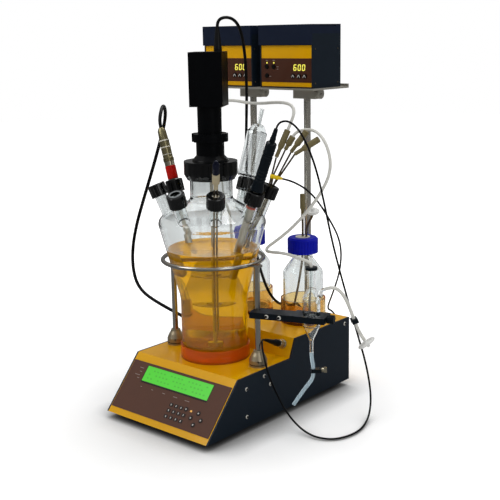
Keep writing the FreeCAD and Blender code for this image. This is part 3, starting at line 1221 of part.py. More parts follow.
make_base()
make_screws()
make_controls()
make_sockets()
make_support()
make_vessel()
make_port_caps()
make_drive()
make_stirrer()
make_probes()
make_port_tubes()
make_seals()
make_bottles()
make_filters()
make_stand()
make_pumps()
make_sampler()
make_clamps()
make_cords()
doc.recompute()

faults = [item.Name for item in doc.Objects if "Invalid" in item.State or "Error" in item.State]
for thing in subparts:
    if thing.Shape.isNull() or not thing.Shape.isValid() or not thing.Shape.Solids:
        faults.append(thing.Label)
if faults:
    raise ValueError("failed: %s" % faults)

for thing in subparts:
    thing.Shape.exportStep("parts/%s.step" % thing.Label)
print("%d sub-parts written" % len(subparts))
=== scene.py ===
# %% [markdown]
# A bench bioreactor: a glass vessel on a sloped control base, with a mixing
# drive on top, capped side necks, reagent bottles and two pumps on a stand.
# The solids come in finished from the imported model, already in place, so
# this script gives each of them its real surface and adds what solids leave
# out: the liquid, the display, the keys, the prints and the cables. All of
# it could be modelled afresh here, but then sizes would live in two places.

# %% Load the frame
import bmesh
import bpy
import math
from mathutils import Matrix, Vector


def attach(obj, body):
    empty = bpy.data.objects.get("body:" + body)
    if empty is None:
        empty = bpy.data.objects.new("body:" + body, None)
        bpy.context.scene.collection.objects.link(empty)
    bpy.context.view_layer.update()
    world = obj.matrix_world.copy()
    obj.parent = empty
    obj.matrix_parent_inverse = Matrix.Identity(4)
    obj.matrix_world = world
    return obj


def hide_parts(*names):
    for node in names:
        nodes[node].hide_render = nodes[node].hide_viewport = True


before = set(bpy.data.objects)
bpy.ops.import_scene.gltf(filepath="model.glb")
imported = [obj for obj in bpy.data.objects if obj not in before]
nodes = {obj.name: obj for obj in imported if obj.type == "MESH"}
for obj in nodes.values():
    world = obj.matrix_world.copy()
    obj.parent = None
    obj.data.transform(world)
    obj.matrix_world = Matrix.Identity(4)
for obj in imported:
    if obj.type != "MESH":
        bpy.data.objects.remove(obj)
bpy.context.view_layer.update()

print("solids loaded:", len(nodes))

# %% [markdown]
# Everything below is written in millimetres, as on a drawing, and turned to
# metres in one place. The vessel stands on its own upright axis, and each
# side neck has an axis of its own that leans out from it. Each neck could
# have its own coordinates, but two angles say the same with less to go wrong.

# %% Measures and the necks' axes
MM = 0.001
AXIS_Y = -40.5
NECK_RING = 79.8
NECK_LEVEL = 340.6
# each cap's way around the vessel and its neck's lean from upright, in degrees
NECKS = {
    "cap_front": (317.0, 23.0), "cap_front_left": (278.0, 23.0), "cap_left": (204.0, 23.0),
    "cap_ph": (176.0, 18.0), "cap_condenser": (94.5, 23.0), "cap_quad": (38.0, 23.0),
    "cap_do": (359.0, 23.0),
}


def neck_axis(name):
    """The direction in which a side neck points."""
    around, lean = (math.radians(angle) for angle in NECKS[name])
    return Vector((math.cos(around) * math.sin(lean), math.sin(around) * math.sin(lean), math.cos(lean)))


def on_neck(name, along):
    """A point on a side neck's axis, in metres, so many millimetres out from its foot."""
    around = math.radians(NECKS[name][0])
    foot = Vector((NECK_RING * math.cos(around), AXIS_Y + NECK_RING * math.sin(around), NECK_LEVEL))
    return (foot + neck_axis(name) * along) * MM


print("necks:", len(NECKS))

# %% [markdown]
# The camera stands to the right of the front and a little above, far enough
# back for a long lens. It leans by one degree. A camera can be turned with
# three Euler angles, but their order is easy to mix up, so here its own
# right, up and back directions are worked out and put in a matrix.

# %% Camera
CAMERA_PLACE = Vector((1054.2, -1161.6, 620.7)) * MM
CAMERA_AZIMUTH = math.radians(40.962)
CAMERA_ELEVATION = math.radians(12.710)
CAMERA_ROLL = math.radians(-1.011)
LENS_MM = 68.727
SENSOR_WIDTH_MM = 36.0


def make_camera():
    """Sets up the camera from its azimuth, elevation and roll."""
    data = bpy.data.cameras.new("camera")
    data.lens = LENS_MM
    data.sensor_width = SENSOR_WIDTH_MM
    camera = bpy.data.objects.new("camera", data)
    bpy.context.scene.collection.objects.link(camera)
    back = Vector((math.sin(CAMERA_AZIMUTH) * math.cos(CAMERA_ELEVATION),
                   -math.cos(CAMERA_AZIMUTH) * math.cos(CAMERA_ELEVATION), math.sin(CAMERA_ELEVATION)))
    right = (-back).cross(Vector((0, 0, 1))).normalized()
    up = right.cross(-back)
    rolled_right = right * math.cos(CAMERA_ROLL) + up * math.sin(CAMERA_ROLL)
    rolled_up = up * math.cos(CAMERA_ROLL) - right * math.sin(CAMERA_ROLL)
    turn = Matrix((rolled_right, rolled_up, back)).transposed()
    camera.matrix_world = Matrix.Translation(CAMERA_PLACE) @ turn.to_4x4()
    bpy.context.scene.camera = camera


make_camera()
print("camera at", [round(number, 3) for number in CAMERA_PLACE])

# %% [markdown]
# A material is a small tree of nodes. One function adds a node, sets its
# values and links its inputs, and one turns a screen colour to the linear
# light that the renderer works in. Each finished material is kept under its
# name, so that a piece can ask for it by that name.

# %% Colour and node helpers
FINISHES = {}
# a Mix node set to colours takes them at these inputs and gives its result at this output
FIRST_COLOUR = 6
SECOND_COLOUR = 7
MIXED_COLOUR = 2


def linear(colour):
    """A linear RGBA colour from a hex string as seen on a screen."""
    parts = [int(colour[index:index + 2], 16) / 255 for index in (1, 3, 5)]
    return [part / 12.92 if part <= 0.04045 else ((part + 0.055) / 1.055) ** 2.4 for part in parts] + [1.0]


def shaded(colour, share):
    """A linear colour made darker or lighter by a share."""
    return [min(1.0, part * share) for part in colour[:3]] + [1.0]


def add(tree, kind, values=None, **settings):
    """Adds a node. A value that is another node's output is linked, and any other one is set."""
    made = tree.nodes.new("ShaderNode" + kind)
    for name, value in settings.items():
        setattr(made, name, value)
    for name, value in (values or {}).items():
        if isinstance(value, bpy.types.NodeSocket):
            tree.links.new(value, made.inputs[name])
        else:
            made.inputs[name].default_value = value
    return made


def empty_material(name):
    """Starts a material that has only an output node, and gives its tree and that node's surface."""
    material = bpy.data.materials.new(name)
    material.use_nodes = True
    FINISHES[name] = material
    tree = material.node_tree
    tree.nodes.clear()
    return tree, tree.nodes.new("ShaderNodeOutputMaterial").inputs["Surface"]


print("node helpers ready")

# %% [markdown]
# Most surfaces here are painted sheet, moulded plastic or turned metal. Real
# ones are never one flat colour: paint has a faint orange peel, plastic has
# a fine grain, and handling leaves soft patches of gloss. An image could
# show that, but noise at a real size needs none and fits any shape. So each
# finish has a slow change of shade, a slow change of gloss and a fine bump.
# The grain of the real ones is often finer than a tenth of a millimetre,
# which no view of the whole would show, so it is drawn 0.4 to 2 mm wide.

# %% How an opaque finish is made
PATCH_MM = 25.0
GLOSS_SWING = 0.15
GRAIN_HEIGHT_SHARE = 0.1
METAL_SPECULAR = 0.5


def opaque(name, colour, roughness, metallic=0.0, grain_mm=0.8, bump=0.1, shade=0.06,
           stretch=(1.0, 1.0, 1.0), mirror=0.35):
    """A procedural opaque finish with a grain of a real size in millimetres."""
    tree, surface = empty_material(name)
    place = add(tree, "TexCoord")
    mapping = add(tree, "Mapping", {"Vector": place.outputs["Object"], "Scale": stretch})
    patches = add(tree, "TexNoise", {"Vector": place.outputs["Object"], "Scale": 1 / (PATCH_MM * MM),
                                     "Detail": 2.0})
    grain = add(tree, "TexNoise", {"Vector": mapping.outputs["Vector"], "Scale": 1 / (grain_mm * MM),
                                   "Detail": 3.0})
    base = linear(colour)
    tint = add(tree, "Mix", {"Factor": patches.outputs["Fac"], FIRST_COLOUR: shaded(base, 1.0 - shade),
                             SECOND_COLOUR: shaded(base, 1.0 + shade)}, data_type="RGBA")
    gloss = add(tree, "MapRange", {"Value": patches.outputs["Fac"],
                                   "To Min": roughness * (1.0 - GLOSS_SWING),
                                   "To Max": min(1.0, roughness * (1.0 + GLOSS_SWING))})
    relief = add(tree, "Bump", {"Height": grain.outputs["Fac"], "Strength": bump,
                                "Distance": grain_mm * MM * GRAIN_HEIGHT_SHARE})
    shader = add(tree, "BsdfPrincipled", {
        "Base Color": tint.outputs[MIXED_COLOUR], "Roughness": gloss.outputs["Result"],
        "Metallic": metallic, "Specular IOR Level": METAL_SPECULAR if metallic else mirror,
        "Normal": relief.outputs["Normal"]})
    tree.links.new(shader.outputs["BSDF"], surface)


print("opaque finishes have patches of", PATCH_MM, "mm")

# %% [markdown]
# The base and the pumps are folded steel sheet. Baked enamel flows out as it
# dries and shines, while powder coat keeps a fine bead and shines less. The
# brown panels are polyester film, printed and glued on. Each could have its
# own tree of nodes, but the same tree with other numbers makes all of them.

# %% Paints and film
# baked gloss enamel: a warm mustard, mirror-like at low angles, with a faint orange peel
opaque("gold_enamel", "#E2A600", 0.15, grain_mm=1.2, bump=0.04, mirror=0.5)
# powder coat: dark blue-black and half glossy, with a fine bead that breaks up reflections
opaque("navy_powder", "#121D28", 0.4, grain_mm=0.6, bump=0.15, shade=0.12, mirror=0.25)
# the pumps' hoods: the same coat, a little bluer
opaque("hood_powder", "#111B2F", 0.34, grain_mm=0.6, bump=0.15, shade=0.12, mirror=0.25)
# printed polyester film: brown and matt, because its face is lightly textured
opaque("brown_film", "#583A2E", 0.5, grain_mm=0.4, bump=0.08, shade=0.08, mirror=0.2)
# inks on the film: grey captions, white marks and near-black keys and frame, all matt
opaque("print_grey", "#8C7C74", 0.5, bump=0.0)
opaque("print_dark", "#241A17", 0.5, bump=0.0)
opaque("print_white", "#C9C6C0", 0.5, bump=0.0)
print("finishes so far:", len(FINISHES))

# %% [markdown]
# Mouldings take their gloss from the mould. Screw caps come out of a polished
# one, grips and couplings out of a textured one, and cast or extruded rubber
# is the dullest. Black plastics differ mostly by their gloss, so the roughness
# and the strength of the mirror carry the look, and the colours stay close.

# %% Plastics and rubbers
# glass-filled plastic of screw caps, moulded: black, with crisp highlights on its ribs
opaque("cap_black", "#030405", 0.16, bump=0.03, shade=0.2, mirror=0.5)
# the drive's anodised tube and moulded housing: black and quiet, with broad soft highlights
opaque("drive_black", "#030406", 0.32, grain_mm=0.7, shade=0.2, mirror=0.12)
# moulded nylon of grips and the arm: black with a blue cast, satin
opaque("handle_black", "#0A1218", 0.32, shade=0.15, mirror=0.15)
# extruded soft PVC of cables and boots: black, half dull
opaque("cable_black", "#050608", 0.4, grain_mm=0.9, bump=0.08, shade=0.15, mirror=0.2)
# moulded rubber: dull, as its skin scatters what falls on it
opaque("rubber", "#0E0E0E", 0.8, grain_mm=1.0, bump=0.3, shade=0.1)
# moulded ABS of the pumps' keys and the display's body: near-black, satin
opaque("key_black", "#0A0807", 0.4, grain_mm=0.6, bump=0.08, shade=0.15, mirror=0.2)
# moulded nylon of the hose couplings: a dull olive, and a paler beige
opaque("olive_nylon", "#736844", 0.48, bump=0.15, shade=0.1)
opaque("beige_nylon", "#A3977A", 0.48, bump=0.15, shade=0.08)
# moulded plug on the front coupling: a blue so dark that only its highlights show it
opaque("tip_blue", "#070B1E", 0.22, bump=0.05, shade=0.1, mirror=0.3)
# moulded polypropylene of the bottle caps: a deep, even blue with a soft gloss
opaque("blue_cap", "#0612A8", 0.38, mirror=0.12)
# moulded polypropylene of the disc filters: milk white
opaque("white_plastic", "#E4E4E1", 0.4, shade=0.03)
# cast silicone of stoppers and the front seal: cream and dull
opaque("off_white", "#CFCBBB", 0.6, grain_mm=1.0, bump=0.2, shade=0.05)
# pressed silicone of the necks' seals: brick orange
opaque("orange_seal", "#C23A12", 0.5, grain_mm=1.0, shade=0.08)
# moulded collar of the acidity probe: a signal red with a soft gloss
opaque("red_collar", "#B80C02", 0.35, grain_mm=1.0, bump=0.05, mirror=0.15)
# moulded plug of the temperature line: yellow
opaque("plug_yellow", "#E8C400", 0.4)
# a painted reflection of light on the front left cap's top flange, drawn as a plain grey ring
opaque("grey_rim_reflection", "#83888A", 0.35, bump=0.05)
# extruded silicone hose: milky, so little of what is behind shows that it can be opaque
opaque("silicone", "#D6D5CE", 0.32, grain_mm=1.0, bump=0.04, shade=0.04, mirror=0.3)
print("finishes so far:", len(FINISHES))

# %% [markdown]
# The metals differ by how they were worked. Drawn rods keep streaks along
# their length, which a noise stretched along Z gives. Plated parts are
# smooth, and blasted ones grainy. In a plain white room a perfect mirror
# would look empty, so some are less than fully metallic and keep a colour
# of their own.

# %% Metals
# polished chrome plate on the vessel's ring: clean reflections
opaque("chrome", "#B9B5AC", 0.14, metallic=1.0, grain_mm=2.0, bump=0.04, shade=0.03)
# ground and polished steel of the stand's rods: bright, with long faint streaks
opaque("rod_steel", "#C6C2B8", 0.18, metallic=0.75, bump=0.015, shade=0.04,
       stretch=(1.0, 1.0, 0.03))
# drawn stainless steel of the shaft and stems: satin, streaked along its length
opaque("satin_steel", "#A8A294", 0.3, metallic=1.0, grain_mm=0.5, bump=0.15,
       stretch=(1.0, 1.0, 0.05))
# bent stainless tube of the thin lines: a darker steel than the shaft's
opaque("line_steel", "#7F7562", 0.28, metallic=1.0, grain_mm=0.5, shade=0.08)
# nickel plate over turned brass: a warm, slightly worn silver
opaque("nickel", "#BDB59E", 0.24, metallic=1.0, bump=0.0)
# the probe connector's shell: a darker nickel with a brown cast, and its near-white rings
opaque("dark_nickel", "#8F8765", 0.3, metallic=0.9, bump=0.0, shade=0.1)
opaque("bright_ring", "#EFEBDC", 0.2, metallic=0.35, bump=0.0, shade=0.03)
# the posts' feet: tumbled nickel plate, duller than the connectors
opaque("foot_nickel", "#A1957D", 0.4, metallic=0.85, bump=0.03, shade=0.08)
# bead-blasted aluminium of the pumps' shelf and clamps: a soft, even grey
opaque("shelf_aluminium", "#A9A59B", 0.4, metallic=0.5, grain_mm=0.5, bump=0.2, shade=0.05)
# zinc-plated screw heads: pale, with a small bright spot each
opaque("zinc_screw", "#DAD7CD", 0.3, metallic=0.4, grain_mm=0.5, bump=0.03, shade=0.05)
print("finishes so far:", len(FINISHES))

# %% [markdown]
# Glass and the clear coloured plastics bend light, so they are real
# refracting shaders on walls of the real thickness, where a simple see-through
# mix would lose the bright rims. Light on its way to what stands behind them
# passes straight through, as it nearly does in a thin wall, so that they cast
# no black shadow. Where a plastic is cloudy, part of it is plain colour.

# %% Clear finishes
SHADOW_SHARE = 0.85


def clear(name, colour, ior=1.47, roughness=0.0, clearness=1.0):
    """A refracting finish whose shadow is its own tint."""
    tree, surface = empty_material(name)
    shader = add(tree, "BsdfPrincipled", {
        "Base Color": linear(colour), "Roughness": roughness, "IOR": ior,
        "Transmission Weight": clearness})
    passing = add(tree, "BsdfTransparent", {"Color": shaded(linear(colour), SHADOW_SHARE)})
    rays = add(tree, "LightPath")
    both = add(tree, "MixShader", {"Fac": rays.outputs["Is Shadow Ray"], 1: shader.outputs["BSDF"],
                                   2: passing.outputs["BSDF"]})
    tree.links.new(both.outputs["Shader"], surface)


# borosilicate glass, blown and drawn: nearly colourless, with dark and bright rims
clear("borosilicate", "#F7FAFA")
# moulded amber polycarbonate of the bottle cups: clear, and a little scuffed
clear("amber_clear", "#FBD998", ior=1.45, roughness=0.03)
# orange-red cast resin of the vessel's seat: cloudy, so it glows rather than shows through
clear("orange_clear", "#EE7A10", ior=1.4, roughness=0.2, clearness=0.7)
# culture medium, watery: clear amber, like a light beer
clear("medium", "#F5B400", ior=1.33, clearness=0.86)
# the medium's free surface: a thin golden froth dulls its mirror
clear("medium_top", "#F0B020", ior=1.1, roughness=0.05, clearness=0.6)
# clear silicone of the short drain hose: it reads pale blue where it bends
clear("hose_clear", "#D5E6EE", ior=1.2, roughness=0.1, clearness=0.6)
print("finishes so far:", len(FINISHES))

# %% [markdown]
# The display and the digits give their own light, behind clear windows. A
# lamp behind each would need many samples, so the surface itself emits, and
# a slow noise keeps the light from being perfectly even.

# %% Lit finishes
UNLIT = [0.02, 0.02, 0.02, 1.0]
WINDOW_ROUGHNESS = 0.25
DIM_SHARE = 0.9
WAVES_A_METRE = 60.0


def glowing(name, colour, strength):
    """A lit display or lamp behind a clear window."""
    tree, surface = empty_material(name)
    place = add(tree, "TexCoord")
    noise = add(tree, "TexNoise", {"Vector": place.outputs["Object"], "Scale": WAVES_A_METRE,
                                   "Detail": 3.0})
    base = linear(colour)
    tint = add(tree, "Mix", {"Factor": noise.outputs["Fac"], FIRST_COLOUR: shaded(base, DIM_SHARE),
                             SECOND_COLOUR: base}, data_type="RGBA")
    shader = add(tree, "BsdfPrincipled", {
        "Base Color": UNLIT, "Roughness": WINDOW_ROUGHNESS, "Emission Strength": strength,
        "Emission Color": tint.outputs[MIXED_COLOUR]})
    tree.links.new(shader.outputs["BSDF"], surface)


# back-lit liquid crystal: an even green, and its signs a shade darker
glowing("lcd_green", "#4FDD2C", 0.85)
glowing("lcd_sign_green", "#47C62B", 0.8)
# light-emitting digits: a warm yellow, brighter than what is around them
glowing("digit_yellow", "#F6EC5A", 1.2)
# the keypad's lamp: amber
glowing("lamp_amber", "#F2B24A", 1.0)
print("finishes so far:", len(FINISHES))

# %% [markdown]
# The pumps' fronts are one sheet printed in two colours. A second piece could
# lie on top, but it would hide the real windows and keys, so the print is in
# the material: two heights are compared, and between them the brown shows.

# %% Print on the pumps' fronts
def banded(name, ground_finish, band_colour, low_mm, high_mm):
    """A printed sheet: one finish, with a band of another colour between two heights."""
    material = FINISHES[ground_finish].copy()
    material.name = name
    FINISHES[name] = material
    tree = material.node_tree
    shader = next(item for item in tree.nodes if item.type == "BSDF_PRINCIPLED")
    ground = shader.inputs["Base Color"].links[0].from_socket
    place = add(tree, "TexCoord")
    height = add(tree, "SeparateXYZ", {"Vector": place.outputs["Object"]})
    above = add(tree, "Math", {0: height.outputs["Z"], 1: low_mm * MM}, operation="GREATER_THAN")
    below = add(tree, "Math", {0: height.outputs["Z"], 1: high_mm * MM}, operation="LESS_THAN")
    within = add(tree, "Math", {0: above.outputs[0], 1: below.outputs[0]}, operation="MULTIPLY")
    printed = add(tree, "Mix", {"Factor": within.outputs[0], FIRST_COLOUR: ground,
                                SECOND_COLOUR: linear(band_colour)}, data_type="RGBA")
    tree.links.new(printed.outputs[MIXED_COLOUR], shader.inputs["Base Color"])


# enamel with a brown field over the digits and keys
banded("pump_print", "gold_enamel", "#4A2C20", 541.5, 581.0)
print("finishes:", len(FINISHES))

# %% [markdown]
# Each solid takes one finish. The finish could be set piece by piece, but a
# list of solids under each finish shows at a glance what matches what.

# %% Finishes of the solids
SURFACES = {
    "gold_enamel": ["base_cover"],
    "pump_print": ["pump_faces"],
    "navy_powder": ["side_plates", "pump_cases", "base_plate"],
    "hood_powder": ["pump_hoods"],
    "brown_film": ["control_overlay"],
    "cap_black": ["main_cap"] + list(NECKS),
    "drive_black": ["bearing_tube", "lock_ring", "drive_housing"],
    "handle_black": ["do_probe", "sampler_arm", "sampler_knob", "pinch_clamps"],
    "cable_black": ["cable_boot", "cord_plugs"],
    "rubber": ["rubber_feet"],
    "chrome": ["vessel_ring"],
    "rod_steel": ["stand_rods"],
    "satin_steel": ["stirrer_shaft", "ph_probe"],
    "nickel": ["sockets", "pinch_screw"],
    "foot_nickel": ["post_feet"],
    "line_steel": ["steel_lines", "bottle_tubes"],
    "shelf_aluminium": ["pump_shelf"],
    "zinc_screw": ["case_screws"],
    "olive_nylon": ["couplings"],
    "blue_cap": ["bottle_cap_left", "bottle_cap_right"],
    "white_plastic": ["disc_filters"],
    "off_white": ["bottle_stoppers"],
    "orange_seal": ["port_seals"],
    "key_black": ["pump_keys_left", "pump_keys_right", "lcd_display"],
    "borosilicate": ["glass_vessel", "bottle_left", "bottle_right", "condenser", "sampler_glass"],
    "amber_clear": ["bottle_cups"],
    "orange_clear": ["vessel_seat"],
}


def dress(name, finish):
    """Gives a solid its finish in every one of its material slots."""
    item = nodes[name]
    for slot in item.material_slots:
        slot.material = FINISHES[finish]
    if not item.material_slots:
        item.data.materials.append(FINISHES[finish])


for finish, names in SURFACES.items():
    for name in names:
        dress(name, finish)
print("solids dressed:", sum(len(names) for names in SURFACES.values()))

# %% [markdown]
# Cables and hoses are flexible, so each is one smooth curve: a NURBS line
# whose control points are the route it was laid along, with a round bevel
# of its real thickness. A physics rope would sag by itself, but it would not
# lie the way these were laid, so the points are listed.

# %% Routes of the cables and hoses
ROUTES = {
    "do_cable": [
        (139.6, -42.9, 481.4), (142.3, -43, 487.9), (147, -38, 493), (153.5, -29, 492.5),
        (160, -17, 482), (167, -7, 462), (174, 2, 435), (180.5, 9, 403), (187, 15, 363),
        (193, 20.5, 322), (199, 28, 281), (205, 39, 237), (211, 52, 190), (216, 67, 142),
        (220.5, 82, 96), (223.5, 91, 56), (226, 92, 27), (232, 79, 8), (242, 54, 2.6),
        (251, 23, 2.2), (250, -8, 2.4), (238, -33, 2.2), (215, -44, 3.2), (190, -41, 5),
        (166, -36, 12), (147, -36, 28), (133, -40, 53), (124.5, -48, 82), (115.5, -48, 106),
        (107, -44, 124), (99, -36, 135), (92, -26.9, 135.2), (92, -18.5, 131.8)],
    "temperature_cable": [
        (102.5, 17, 395), (108.7, 21.7, 393.1), (117, 29, 389), (129.5, 38, 380.5), (140, 47.5, 368),
        (150.5, 57, 349), (161, 66, 325.5), (167, 77, 303), (166, 88.5, 280), (158, 101, 254),
        (144.5, 114, 225), (126, 129, 198), (104, 149, 172), (82, 170, 149), (70, 184, 134),
        (70, 196, 128.5), (70, 208, 116), (67, 219, 100), (58, 232, 85), (44, 248, 74),
        (28, 256, 66), (16, 252, 62.5), (14, 235, 62)],
    "ph_cable": [
        (-121.3, -32, 469.2), (-124.4, -31.8, 478.7), (-128, -26, 491), (-136.5, -13, 502.5),
        (-147, 2, 503.5), (-155, 13, 492), (-164, 18, 470), (-177, 18, 438), (-191, 16, 401),
        (-205, 12, 362), (-219, 8, 324), (-230, 2, 286), (-234, -6, 248), (-230, -13, 213),
        (-219, -17, 184), (-202, -17, 166), (-180, -13, 154), (-156, -4, 141.5), (-134, 5, 131),
        (-115, 13, 121), (-100, 16, 115.8), (-89, 16, 115.8)],
    "drive_cable": [
        (12, -30, 632.7), (12, -30, 640.5), (17, -25.5, 647.5), (24, -13, 648), (26, 2, 639.5),
        (20.5, 18, 622), (10, 36, 597), (-3, 54, 564), (-16, 70, 525), (-29, 83, 482), (-38, 91, 436),
        (-41, 93, 388), (-38, 92, 340), (-31, 92, 292), (-22, 94, 246), (-14, 99, 204),
        (-8, 110, 170), (-6, 128, 148), (-7, 150, 136), (-11, 174, 131.5), (-16, 196, 129),
        (-19, 214, 117), (-21, 232, 105), (-22, 254, 98), (-22, 274, 88), (-22, 280, 71),
        (-22, 268, 59), (-22, 252, 58), (-22, 235, 58)],
    "sample_hose": [
        (108, 38, 461), (110.7, 39.5, 466.2), (116.5, 46, 470.5), (127, 51.5, 472), (141, 49, 471.5),
        (156, 43.5, 467.5), (170, 39, 457), (180, 36.5, 440.5), (184.5, 35, 421), (181, 33.5, 401),
        (171.5, 32, 382.5), (158.5, 30, 363), (142, 26.5, 342), (122, 22, 320), (102, 17.5, 302),
        (86, 12.5, 289), (75.5, 8.5, 280.5), (77, 4.5, 275.5), (88, 1.5, 275.8), (104, -1, 277.5),
        (122, -3.5, 279), (144, -7, 278), (162, -9.5, 276), (174, -10.2, 274.5),
        (180.3, -10.1, 271.5), (180.3, -10.1, 262.2)],
    "air_hose": [
        (99, 36, 471), (102.3, 39.6, 482), (105.5, 45, 497), (98, 51, 508), (80, 55, 512.5),
        (54, 59, 512), (24, 63, 509), (-8, 67, 508), (-40, 71, 511), (-66, 73, 511), (-82, 72, 498),
        (-84, 70, 474), (-79, 68, 434), (-70, 66, 392), (-60, 64, 346), (-50, 61, 300),
        (-42, 57, 254), (-36, 53, 214), (-32, 51, 178), (-30, 50, 152), (-30, 50, 138.3)],
    "side_hose": [
        (195.3, 4, 230), (203.1, 9, 233.5), (211, 15.5, 231.5), (218.6, 21.5, 221.8), (224.4, 27, 206),
        (228.8, 32.8, 186.6), (232.9, 37.2, 170), (238.5, 41.2, 155), (244.2, 44, 146.2)],
    "drain_hose": [
        (180.3, -10.1, 126.8), (181.2, -11, 115), (183, -9.6, 106), (183.4, -9.3, 88.5),
        (180, -12.4, 79), (171.6, -20, 65), (158.9, -30, 39.8)],
}
print("routes:", len(ROUTES))

# %% [markdown]
# A curve with a bevel stays smooth and light, where a swept mesh would need
# many faces.

# %% Cables and hoses
# real length and thickness (both mm), stiffness, far end and finish of each
CORD_FACTS = {
    "do_cable": (897.6, 3.2, "medium", "object", "cable_black"),
    "temperature_cable": (502.7, 3.0, "medium", "object", "cable_black"),
    "ph_cable": (558.2, 6.0, "medium", "object", "cable_black"),
    "drive_cable": (806.7, 5.0, "medium", "object", "cable_black"),
    "sample_hose": (417.8, 5.0, "limp", "object", "silicone"),
    "air_hose": (592.1, 5.0, "limp", "object", "silicone"),
    "side_hose": (116.8, 5.5, "limp", "object", "silicone"),
    "drain_hose": (96.8, 6.3, "limp", "bare", "hose_clear"),
}
STEPS_ALONG = 6
STEPS_AROUND = 5


def lay_cord(name):
    """One cable or hose as a smooth bevelled curve along its route."""
    length, thickness, stiffness, far_end, finish = CORD_FACTS[name]
    data = bpy.data.curves.new(name + "_line", "CURVE")
    data.dimensions = "3D"
    data.resolution_u = STEPS_ALONG
    data.bevel_depth = thickness / 2 * MM
    data.bevel_resolution = STEPS_AROUND
    data.use_fill_caps = True
    spline = data.splines.new("NURBS")
    spline.points.add(len(ROUTES[name]) - 1)
    for point, spot in zip(spline.points, ROUTES[name]):
        point.co = [part * MM for part in spot] + [1.0]
    spline.order_u = 3
    spline.use_endpoint_u = True
    cord = bpy.data.objects.new(name + "_cord", data)
    bpy.context.scene.collection.objects.link(cord)
    data.materials.append(FINISHES[finish])
    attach(cord, "frame")
    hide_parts(name)


for name in ROUTES:
    lay_cord(name)
print("cords:", len(CORD_FACTS))

# %% [markdown]
# New pieces are made with bmesh operators. A turned piece is a half profile
# spun about an axis, and a flat piece is a block whose edges are eased.
# Ready-made cylinders would do for the plainest ones, but a profile also
# takes the chamfers and grooves that catch the light on a real turned part.

# %% Helpers for new pieces
UP = Vector((0, 0, 1))
SOFT_EDGE = 40.0


def piece_from(mesh, name, finish, body="frame", smooth=SOFT_EDGE):
    """Turns a bmesh into a piece with a finish and a body to ride on."""
    bmesh.ops.recalc_face_normals(mesh, faces=mesh.faces)
    data = bpy.data.meshes.new(name)
    mesh.to_mesh(data)
    mesh.free()
    for polygon in data.polygons:
        polygon.use_smooth = True
    data.set_sharp_from_angle(angle=math.radians(smooth))
    data.materials.append(FINISHES[finish])
    item = bpy.data.objects.new(name, data)
    bpy.context.scene.collection.objects.link(item)
    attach(item, body)
    return item


def join(mesh, part):
    """Moves a part's geometry into a mesh."""
    data = bpy.data.meshes.new("part")
    part.to_mesh(data)
    part.free()
    mesh.from_mesh(data)
    bpy.data.meshes.remove(data)


def spun(mesh, profile, segments, origin=(0, 0, 0), direction=(0, 0, 1)):
    """Adds a turned form to a mesh from (radius, height) points in millimetres."""
    part = bmesh.new()
    verts = [part.verts.new((radius * MM, 0, height * MM)) for radius, height in profile]
    edges = [part.edges.new(pair) for pair in zip(verts, verts[1:])]
    bmesh.ops.spin(part, geom=verts + edges, cent=(0, 0, 0), axis=(0, 0, 1), dvec=(0, 0, 0),
                   angle=math.tau, steps=segments, use_merge=True, use_duplicate=False)
    bmesh.ops.remove_doubles(part, verts=part.verts, dist=1e-6)
    turn = UP.rotation_difference(Vector(direction)).to_matrix().to_4x4()
    bmesh.ops.transform(part, matrix=Matrix.Translation(Vector(origin)) @ turn, verts=part.verts)
    join(mesh, part)


def boxed(mesh, size_mm, matrix, bevel_mm):
    """Adds a block to a mesh, with eased edges where a bevel is given."""
    part = bmesh.new()
    bmesh.ops.create_cube(part, size=1.0)
    bmesh.ops.scale(part, vec=[side * MM for side in size_mm], verts=part.verts)
    if bevel_mm:
        bmesh.ops.bevel(part, geom=part.edges, offset=bevel_mm * MM, segments=2, profile=0.5,
                        affect="EDGES", material=-1)
    bmesh.ops.transform(part, matrix=matrix, verts=part.verts)
    join(mesh, part)


def plates(name, blocks, finish, body="frame"):
    """One piece made of sharp thin blocks, each a size in millimetres and the matrix of its place."""
    mesh = bmesh.new()
    for size_mm, matrix in blocks:
        boxed(mesh, size_mm, matrix, 0.0)
    piece_from(mesh, name, finish, body)


print("helpers ready")

# %% [markdown]
# The liquid fills the vessel to about 2 cm above the ring around it. It could
# be cut from the glass with a Boolean, but the inside is turned, so its own
# half profile is simpler. It is a hair larger than the glass's inner wall, so
# that light meets glass and then liquid with no film of air between them.

# %% Liquid
LIQUID_TOP = 281.0
OVERLAP = 0.15
# inside the glass: the round between floor and wall, then a wall that leans out between two heights
CORNER_RADIUS = 21.0
CORNER_OUT, CORNER_LEVEL = 31.6, 122.0
WALL_FOOT_RADIUS, WALL_FOOT_LEVEL = 52.6, 197.0
WALL_TOP_RADIUS, WALL_TOP_LEVEL = 87.5, 329.0
CORNER_STEPS = 8
WALL_LEVELS = (230.0, 255.0)
LIQUID_SEGMENTS = 96
LIQUID_EDGE = 50
# how far below its top the free surface still reaches, and how level its faces are
SURFACE_DEPTH = 1.5
NEARLY_LEVEL = 0.9


def wall_radius(level):
    """The leaning wall's inner radius at a height, in millimetres."""
    lean = (WALL_TOP_RADIUS - WALL_FOOT_RADIUS) / (WALL_TOP_LEVEL - WALL_FOOT_LEVEL)
    return WALL_FOOT_RADIUS + (level - WALL_FOOT_LEVEL) * lean


